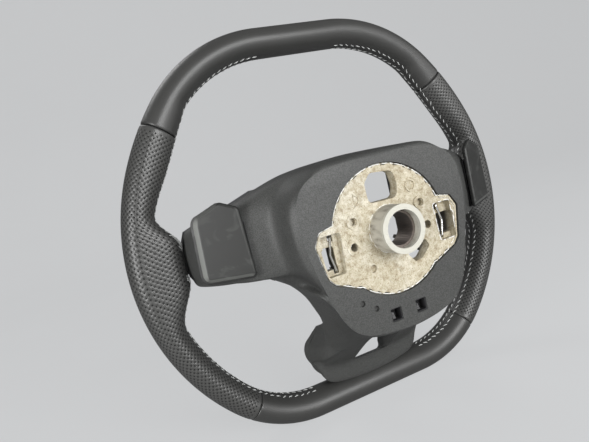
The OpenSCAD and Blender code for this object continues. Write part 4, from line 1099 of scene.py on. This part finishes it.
# The lower trim: its front line of [depth, z], its wall, its play inside the cover and at the joint, and
# the part of the cover's outline that it follows, below TRIM_TOP and drawn in a little
TRIM_FRONT = [(13, -77), (9, -86), (2, -98), (-4, -110), (-9, -120), (-9, -150)]
TRIM_WALL, TRIM_PLAY, TRIM_HALF = 2.0, 0.3, 70
TRIM_TOP, TRIM_MIDDLE, TRIM_SCALE, TRIM_SHIFT = -73.0, -70.0, (1.0, 0.985), (0.0, -0.6)
TRIM_BLOCK, TRIM_HOLLOW, TRIM_WINDOW = (-20, 60), (-25, 65), (-30, 60)


class WHEEL_OT_lower_trim(bpy.types.Operator):
    """Mould the trim on the driver's side of the lower spoke"""
    bl_idname = "wheel.lower_trim"
    bl_label = "Lower Trim"

    def execute(self, context):
        colours = context.scene.wheel_colours
        outline = cover_outline(COVER_DEPTH, TRIM_PLAY)
        outline = outline[outline[:, 1] < TRIM_TOP] * TRIM_SCALE + TRIM_SHIFT
        outline = outline[np.argsort(np.arctan2(outline[:, 0], TRIM_MIDDLE - outline[:, 1]))]
        inner = [(back + WALL, z - 0.8) for back, z in TRIM_FRONT] + [(80, -150), (80, -70)]
        joint = [(back - TRIM_PLAY, z) for back, z in PARTING if z < TRIM_MIDDLE]
        trim = prism("lower_trim_shell", outline, *TRIM_BLOCK)
        hollow = prism("hollow", grown(outline, -TRIM_WALL), *TRIM_HOLLOW)
        carve(hollow, prism("behind", inner, -TRIM_HALF - 5, TRIM_HALF + 5, axis=0), "INTERSECT")
        carve(trim, hollow)
        carve(trim, prism("sides", TRIM_FRONT + joint[::-1], -TRIM_HALF, TRIM_HALF, axis=0), "INTERSECT")
        carve(trim, tilted(prism("window", rounded(WINDOW_TUBE, TUBE_R), *TRIM_WINDOW)))
        shade(trim, 35)
        dress(trim, cover_finish("trim_plastic", colours.cover))
        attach(trim, "wheel")
        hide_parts("lower_trim")
        return {"FINISHED"}


# Paddles

PADDLE_LINE = [(0, -7.5), (38.5, -5.6), (36, 41), (14.7, 49), (1.5, 42.5)]
PADDLE_CORNERS = [3.0, 6.0, 8.0, 5.0, 4.0]
PADDLE_X, PADDLE_BACK, PADDLE_T = 103.0, 69.0, 3.4
PADDLE_TURN = math.radians(27.9)
HINGE_X, HINGE_BACK, HINGE_Z, BARREL_R, BARREL_LEN, PIN_HOLE = 107.0, 58.5, 12.0, 3.2, 24.0, 1.55
HINGE_WEB = [(HINGE_X - 2, HINGE_BACK), (HINGE_X + 2.5, HINGE_BACK),
             (HINGE_X + 3.5, PADDLE_BACK - 5), (HINGE_X - 1.5, PADDLE_BACK - 3)]
# How far the face slopes down at its lower end against its outer edge, its drop in millimetres at the
# plain edges and added on the slopes, and how far the backing stands out: all round, outwards, down and
# at its lip
DOWN_SLOPE, DROP, SLOPE_DROP = 0.45, 1.0, 0.9
SPREAD, RIM_SPREAD, DOWN_SPREAD, LIP_SPREAD = 0.5, 1.5, 1.1, 1.7
# Where along the paddle's height the backing's lip runs, as shares, and the strength of the painted
# highlight on the lip's front edge and on the blade's inner edge
LIP_FROM, LIP_TO, LIP_HIGHLIGHT, INNER_HIGHLIGHT = 0.10, 0.80, 0.9, 0.14
# The face's rings, as shares of the slope's width and of its drop
FACE_RINGS = ((-0.08, 0), (0, 0), (0.08, 0.02), (0.2, 0.12), (0.9, 0.80), (0.97, 0.90), (1, 1))
EDGE_FROM, EDGE_TO = 0.06, 1.01


def on_paddle(flat, height, side):
    """Points drawn in the paddle's plane, placed on the wheel; height grows towards the column."""
    x = PADDLE_X + flat[:, 0] * math.cos(PADDLE_TURN) + height * math.sin(PADDLE_TURN)
    back = PADDLE_BACK - flat[:, 0] * math.sin(PADDLE_TURN) + height * math.cos(PADDLE_TURN)
    return np.stack([side * x, back - SEAT_BACK, flat[:, 1]], axis=1) * MM


class WHEEL_OT_paddles(bpy.types.Operator):
    """Mould the shift paddles with their rounded edges and hinge barrels"""
    bl_idname = "wheel.paddles"
    bl_label = "Paddles"

    def execute(self, context):
        sizes, colours = context.scene.wheel_sizes, context.scene.wheel_colours
        material = smudged("paddle_plastic", colours.paddle)
        # The backing is partly a real plate, the paddle's base that shows at its inner edge, and partly
        # painted shade: its darker colour and its spread round the blade stand for the shaded side wall.
        dark = smudged("shaded_backing_plastic", scaled(colours.paddle, 0.45))
        line = rounded(PADDLE_LINE, PADDLE_CORNERS, 8)
        run = tangents(line)
        rimward, downward, inward = smooth(run[:, 1]), smooth(run[:, 0]), smooth(-run[:, 1])
        slope = np.maximum(rimward, DOWN_SLOPE * downward)
        width = sizes.paddle_edge / MM + (sizes.paddle_slope - sizes.paddle_edge) / MM * slope
        drop = DROP + SLOPE_DROP * slope
        share = (line[:, 1] - line[:, 1].min()) / np.ptp(line[:, 1])
        lip = inward * smooth((LIP_TO - share) * 10) * smooth((share - LIP_FROM) * 10)
        spread = (SPREAD + RIM_SPREAD * rimward + DOWN_SPREAD * downward * (1 - rimward)
                  + LIP_SPREAD * lip)
        backing_rings = (
            (0.5, -drop - 0.15), (0.15, -drop - 0.25), (0.0, -drop - 0.5), (0.0, -PADDLE_T + 0.2),
            (0.2, -PADDLE_T), (spread + 2.0, -PADDLE_T))
        for word, side in SIDES:
            plate = loft("paddle_backing_" + word, [
                on_paddle(grown(line, (spread - inset)[:, None]), height, side)
                for inset, height in backing_rings])
            # Painted highlight on the front edge of the backing's lip.
            lip_highlight = np.zeros(len(plate.data.vertices))
            lip_highlight[:2 * len(line)] = np.tile(LIP_HIGHLIGHT * lip, 2)
            store(plate.data, "edge", lip_highlight)
            shade(plate, 35)
            dress(plate, dark)
            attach(plate, "paddle_" + word)
            rings = [on_paddle(grown(line, (-width * (1 - along))[:, None]), -drop * fall, side)
                     for along, fall in FACE_RINGS]
            rings += [on_paddle(line, height, side) for height in (-PADDLE_T + 0.9, -PADDLE_T + 0.5)]
            blade = loft("paddle_blade_" + word, rings)
            for outline, half, operation in (
                    (HINGE_WEB, BARREL_LEN / 2, "UNION"),
                    (circle_line((HINGE_X, HINGE_BACK), BARREL_R, 40), BARREL_LEN / 2, "UNION"),
                    (circle_line((HINGE_X, HINGE_BACK), PIN_HOLE, 32), BARREL_LEN, "DIFFERENCE")):
                carve(blade, prism("hinge", outline, HINGE_Z - half, HINGE_Z + half, 2, side), operation)
            store_edge_highlight(blade, line, np.maximum(slope, INNER_HIGHLIGHT * inward), drop, side)
            shade(blade, 35)
            dress(blade, material)
            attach(blade, "paddle_" + word)
            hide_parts("paddle_" + word)
        return {"FINISHED"}


def store_edge_highlight(blade, line, share, drop, side):
    """Stores how strongly each point of the paddle's sloping edge gets a painted highlight."""
    points = np.array([v.co for v in blade.data.vertices]) / MM
    ahead, back = side * points[:, 0] - PADDLE_X, points[:, 1] + SEAT_BACK - PADDLE_BACK
    flat = np.stack([ahead * math.cos(PADDLE_TURN) - back * math.sin(PADDLE_TURN), points[:, 2]], axis=1)
    height = ahead * math.sin(PADDLE_TURN) + back * math.cos(PADDLE_TURN)
    nearest = np.argmin(np.linalg.norm(flat[:, None, :] - line[None, :, :], axis=2), axis=1)
    fall = -height / drop[nearest]
    store(blade.data, "edge", np.where((fall > EDGE_FROM) & (fall < EDGE_TO), share[nearest], 0.0))


# Solids that keep their CAD shape

class WHEEL_OT_finishes(bpy.types.Operator):
    """Give every solid that keeps its shape its own finish"""
    bl_idname = "wheel.finishes"
    bl_label = "Finishes"

    def execute(self, context):
        colours = context.scene.wheel_colours
        black = grained("black_plastic", (0.012, 0.012, 0.013), roughness=0.5, grain=0.0005,
                        depth=0.00003)
        bezel = grained("trim_plastic", (0.030, 0.031, 0.034), roughness=0.5, grain=0.0004)
        finishes = {
            "armature": cast_metal(colours.casting),
            "column_sleeve": brushed("sleeve_steel", (0.20, 0.17, 0.15), 0.5, (500.0, 90.0, 500.0), 0.7),
            "rim_foam": grained("moulded_foam", (0.012, 0.012, 0.013), roughness=0.8, grain=0.0012),
            "lower_trim": bezel,
            "airbag_spring": brushed("bright_wire", (0.78, 0.79, 0.80), 0.25, (300.0, 300.0, 300.0)),
            "screws": brushed("plated_steel", (0.62, 0.62, 0.63), 0.35, (500.0, 500.0, 500.0)),
            "paddle_pin": brushed("ground_steel", (0.60, 0.60, 0.62), 0.3),
            "paddle_spring": brushed("spring_steel", (0.45, 0.45, 0.48), 0.3),
            "switch_board": grained("board_resist", (0.012, 0.07, 0.03), roughness=0.35, grain=0.001,
                                    depth=0.00001),
            "button": grained("soft_button", (0.008, 0.008, 0.009), roughness=0.6, grain=0.0003),
            "cover_clip": grained("clip_plastic", (0.022, 0.022, 0.023), roughness=0.4),
            "bezel": bezel,
        }
        for name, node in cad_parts.items():
            key = next((k for k in finishes if k in name), None)
            dress_cad(node, finishes.get(key, black))
        return {"FINISHED"}


def dress_cad(node, material):
    for slot in node.material_slots:
        slot.link = "OBJECT"
        slot.material = material
    if not node.material_slots:
        node.data.materials.append(material)


# Casting flash

# The level of the casting's face and how far an edge may lie off it, and the beads' spacing, in metres
FACE_LEVEL, LEVEL_SLACK = -0.0113, 3e-5
BEAD_STEP = 0.8 * MM


def face_edges(node, level):
    """Closed lines where the casting's face at a level meets its walls, longest first."""
    bm = bmesh.new()
    bm.from_mesh(node.data)
    bmesh.ops.transform(bm, matrix=node.matrix_world, verts=bm.verts)
    bmesh.ops.remove_doubles(bm, verts=bm.verts, dist=1e-6)
    near = {}
    for edge in bm.edges:
        if len(edge.link_faces) == 2 and all(abs(v.co.y - level) < LEVEL_SLACK for v in edge.verts):
            facing = sorted(abs(face.normal.y) for face in edge.link_faces)
            if facing[0] < 0.5 and facing[1] > 0.9:
                v, w = edge.verts
                near.setdefault(v.index, []).append(w.index)
                near.setdefault(w.index, []).append(v.index)
    places = {v.index: np.array(v.co) for v in bm.verts if v.index in near}
    bm.free()
    loops = []
    while near:
        current, line = next(iter(near)), []
        while current is not None:
            line.append(places[current])
            current = next((n for n in near.pop(current) if n in near), None)
        if len(line) > 8:
            loops.append(np.array(line))
    return sorted(loops, key=lambda line: float(np.linalg.norm(np.ptp(line, axis=0))), reverse=True)


class WHEEL_OT_casting_flash(bpy.types.Operator):
    """Lay the bright irregular flash round the edges of the casting's face"""
    bl_idname = "wheel.casting_flash"
    bl_label = "Casting Flash"

    def execute(self, context):
        random = np.random.default_rng(7)
        lines = face_edges(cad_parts["armature"], FACE_LEVEL)[:3]
        flash = broken_beads("casting_flash", lines, random, (4, 16), (0, 3), (0.26, 0.55), 0.0)
        dress(flash, brushed("trimmed_edge", (0.90, 0.90, 0.87), 0.4, (900.0, 900.0, 900.0), 0.2))
        chips = broken_beads("casting_chips", lines[:1], random, (3, 9), (2, 9), (0.22, 0.42), -0.85)
        dress(chips, grained("chipped_edge", (0.03, 0.028, 0.025), roughness=0.7))
        for obj in (flash, chips):
            obj.data.shade_smooth()
            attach(obj, "wheel")
        return {"FINISHED"}


def broken_beads(name, lines, random, run, gap, width, shift):
    """Uneven beads along closed lines.

    Run and gap give the least and the most steps of BEAD_STEP; width is a radius in millimetres, and
    shift moves the beads outwards in millimetres."""
    upward = np.array([0.0, 1.0, 0.0])
    verts, faces = [], []
    for line in lines:
        closed = np.concatenate([line, line[:1]])
        length = lengths_along(closed)
        steps = int(length[-1] / BEAD_STEP)
        along = np.arange(steps) * length[-1] / steps
        points = np.stack([np.interp(along, length, closed[:, k]) for k in range(3)], axis=1)
        sideways = np.cross(tangents(points), upward)
        if np.sum(sideways * (points - points.mean(axis=0))) < 0:
            sideways = -sideways
        start = 0
        while start < steps - 3:
            piece = np.arange(start, min(start + int(random.integers(*run)), steps))
            start = piece[-1] + 1 + int(random.integers(*gap))
            if len(piece) < 3:
                continue
            radius = random.uniform(*width, len(piece)) * MM
            radius[[0, -1]] = 0.03 * MM
            wander = (shift + random.uniform(-0.15, 0.15, len(piece)))[:, None] * MM
            middle = points[piece] + wander * sideways[piece]
            rings = six_sided(middle, radius[:, None, None], sideways[piece], upward, 0.4)
            faces += tube_faces(len(piece), 6, len(verts))
            verts.extend(rings.reshape(-1, 3))
    obj = new_object(name, verts, faces)
    outward_faces(obj)
    return obj


# Stage: all lengths in metres, powers in watts

CAMERA_PLACE = (0.2001, 0.3040, 0.0599)
CAMERA_FORWARD = (-0.3711, -0.9229, -0.1022)
CAMERA_UP = (-0.2550, -0.0045, 0.9669)
CAMERA_LENS = 30.48
# Each lamp's name, place, size and power; all of them look at the hub
LAMPS = (("key", (1.20, 0.50, 0.08), 0.6, 13.0), ("soft", (-0.20, 1.35, 0.35), 0.9, 21.0),
         ("fill", (-0.9, 0.7, 0.3), 1.2, 5.0), ("front", (0.5, -1.5, 1.5), 1.0, 7.0))
SKY_LIGHT = 0.24
SKY_SHOWN = 0.75
FLOOR_Z = -0.1585
FLOOR_NEAR, FLOOR_FAR, FLOOR_TOP, FLOOR_SIDE, FLOOR_BEND = 2.6, -2.6, 4.5, 14.0, 1.2
FLOOR_GLOW, FLOOR_GLOW_SHARE = 1.15, 0.6


class WHEEL_OT_stage(bpy.types.Operator):
    """Set up the floor, the soft light and the camera"""
    bl_idname = "wheel.stage"
    bl_label = "Stage"

    def execute(self, context):
        scene, colours = context.scene, context.scene.wheel_colours
        forward = Vector(CAMERA_FORWARD).normalized()
        right = forward.cross(Vector(CAMERA_UP)).normalized()
        turn = Matrix((right, right.cross(forward), -forward)).transposed().to_4x4()
        lens = bpy.data.cameras.new("camera")
        lens.sensor_width = 36.0
        lens.sensor_fit = "HORIZONTAL"
        lens.lens = CAMERA_LENS
        lens.clip_start = 0.01
        camera = bpy.data.objects.new("camera", lens)
        camera.matrix_world = Matrix.Translation(CAMERA_PLACE) @ turn
        scene.collection.objects.link(camera)
        scene.camera = camera
        floor = backdrop(colours.floor)
        for name, place, size, power in LAMPS:
            lamp = bpy.data.lights.new(name, "AREA")
            lamp.shape = "DISK"
            lamp.size = size
            lamp.energy = power
            obj = bpy.data.objects.new(name, lamp)
            obj.location = place
            obj.rotation_euler = (-Vector(place)).to_track_quat("-Z", "Y").to_euler()
            scene.collection.objects.link(obj)
        world = bpy.data.worlds.new("studio")
        world.use_nodes = True
        nodes, link = world.node_tree.nodes, world.node_tree.links.new
        lit, shown = nodes["Background"], nodes.new("ShaderNodeBackground")
        for node, colour, strength in (
                (lit, (1.0, 1.0, 1.0), SKY_LIGHT), (shown, colours.floor, SKY_SHOWN)):
            node.inputs["Color"].default_value = (*colour, 1.0)
            node.inputs["Strength"].default_value = strength
        seen, blend = nodes.new("ShaderNodeLightPath"), nodes.new("ShaderNodeMixShader")
        link(seen.outputs["Is Camera Ray"], blend.inputs[0])
        link(lit.outputs[0], blend.inputs[1])
        link(shown.outputs[0], blend.inputs[2])
        link(blend.outputs[0], nodes["World Output"].inputs["Surface"])
        scene.world = world
        scene.view_settings.view_transform = "Standard"
        return {"FINISHED"}


def backdrop(colour):
    """A seamless pale floor that curves up behind the wheel."""
    profile = [(FLOOR_NEAR, FLOOR_Z), (FLOOR_FAR + FLOOR_BEND, FLOOR_Z)]
    for turn in np.radians(np.arange(10, 91, 10)):
        profile.append((FLOOR_FAR + FLOOR_BEND - FLOOR_BEND * math.sin(turn),
                        FLOOR_Z + FLOOR_BEND * (1 - math.cos(turn))))
    profile.append((FLOOR_FAR, FLOOR_TOP))
    verts = [(x, y, z) for y, z in profile for x in (-FLOOR_SIDE, FLOOR_SIDE)]
    faces = [(2 * i, 2 * i + 1, 2 * i + 3, 2 * i + 2) for i in range(len(profile) - 1)]
    obj = new_object("studio_floor", verts, faces)
    obj.data.shade_smooth()
    kit = Kit("floor_paper")
    fibre = kit.ramp(kit.noise(6.0, 6.0), (0.3, scaled(colour, 0.48)), (0.7, scaled(colour, 0.5)))
    kit.surface(Base_Color=fibre, Roughness=0.9)
    seen = kit.add("ShaderNodeLightPath").outputs["Is Camera Ray"]
    glow = kit.add("ShaderNodeEmission", Color=(*colour, 1.0), Strength=FLOOR_GLOW)
    blend = kit.add("ShaderNodeMixShader")
    for socket, value in zip(blend.inputs, (
            kit.math("MULTIPLY", seen, FLOOR_GLOW_SHARE), kit.shader.outputs[0], glow.outputs[0])):
        kit.feed(socket, value)
    kit.feed(kit.tree.nodes["Material Output"].inputs["Surface"], blend.outputs[0])
    dress(obj, kit.material)
    return obj


class WHEEL_PT_panel(bpy.types.Panel):
    """Lists the steps that dress the wheel"""
    bl_idname = "WHEEL_PT_panel"
    bl_label = "Steering Wheel"
    bl_space_type = "VIEW_3D"
    bl_region_type = "UI"
    bl_category = "Wheel"

    def draw(self, context):
        for group in (context.scene.wheel_sizes, context.scene.wheel_colours):
            column = self.layout.column(align=True)
            for key in group.bl_rna.properties.keys():
                if key not in ("rna_type", "name"):
                    column.prop(group, key)
        for operator in OPERATORS:
            self.layout.operator(operator.bl_idname)


OPERATORS = (
    WHEEL_OT_finishes, WHEEL_OT_smooth_leather, WHEEL_OT_grips, WHEEL_OT_perforations, WHEEL_OT_stitches,
    WHEEL_OT_rear_cover, WHEEL_OT_lower_trim, WHEEL_OT_paddles, WHEEL_OT_casting_flash, WHEEL_OT_stage)
CLASSES = (WheelSizes, WheelColours, *OPERATORS, WHEEL_PT_panel)


def register():
    for cls in CLASSES:
        bpy.utils.register_class(cls)
    bpy.types.Scene.wheel_sizes = PointerProperty(type=WheelSizes)
    bpy.types.Scene.wheel_colours = PointerProperty(type=WheelColours)


def unregister():
    del bpy.types.Scene.wheel_colours
    del bpy.types.Scene.wheel_sizes
    for cls in reversed(CLASSES):
        bpy.utils.unregister_class(cls)


def main():
    register()
    bpy.ops.wheel.finishes()
    bpy.ops.wheel.smooth_leather()
    bpy.ops.wheel.grips()
    bpy.ops.wheel.perforations()
    bpy.ops.wheel.stitches()
    bpy.ops.wheel.rear_cover()
    bpy.ops.wheel.lower_trim()
    bpy.ops.wheel.paddles()
    bpy.ops.wheel.casting_flash()
    bpy.ops.wheel.stage()


if __name__ == "__main__":
    main()
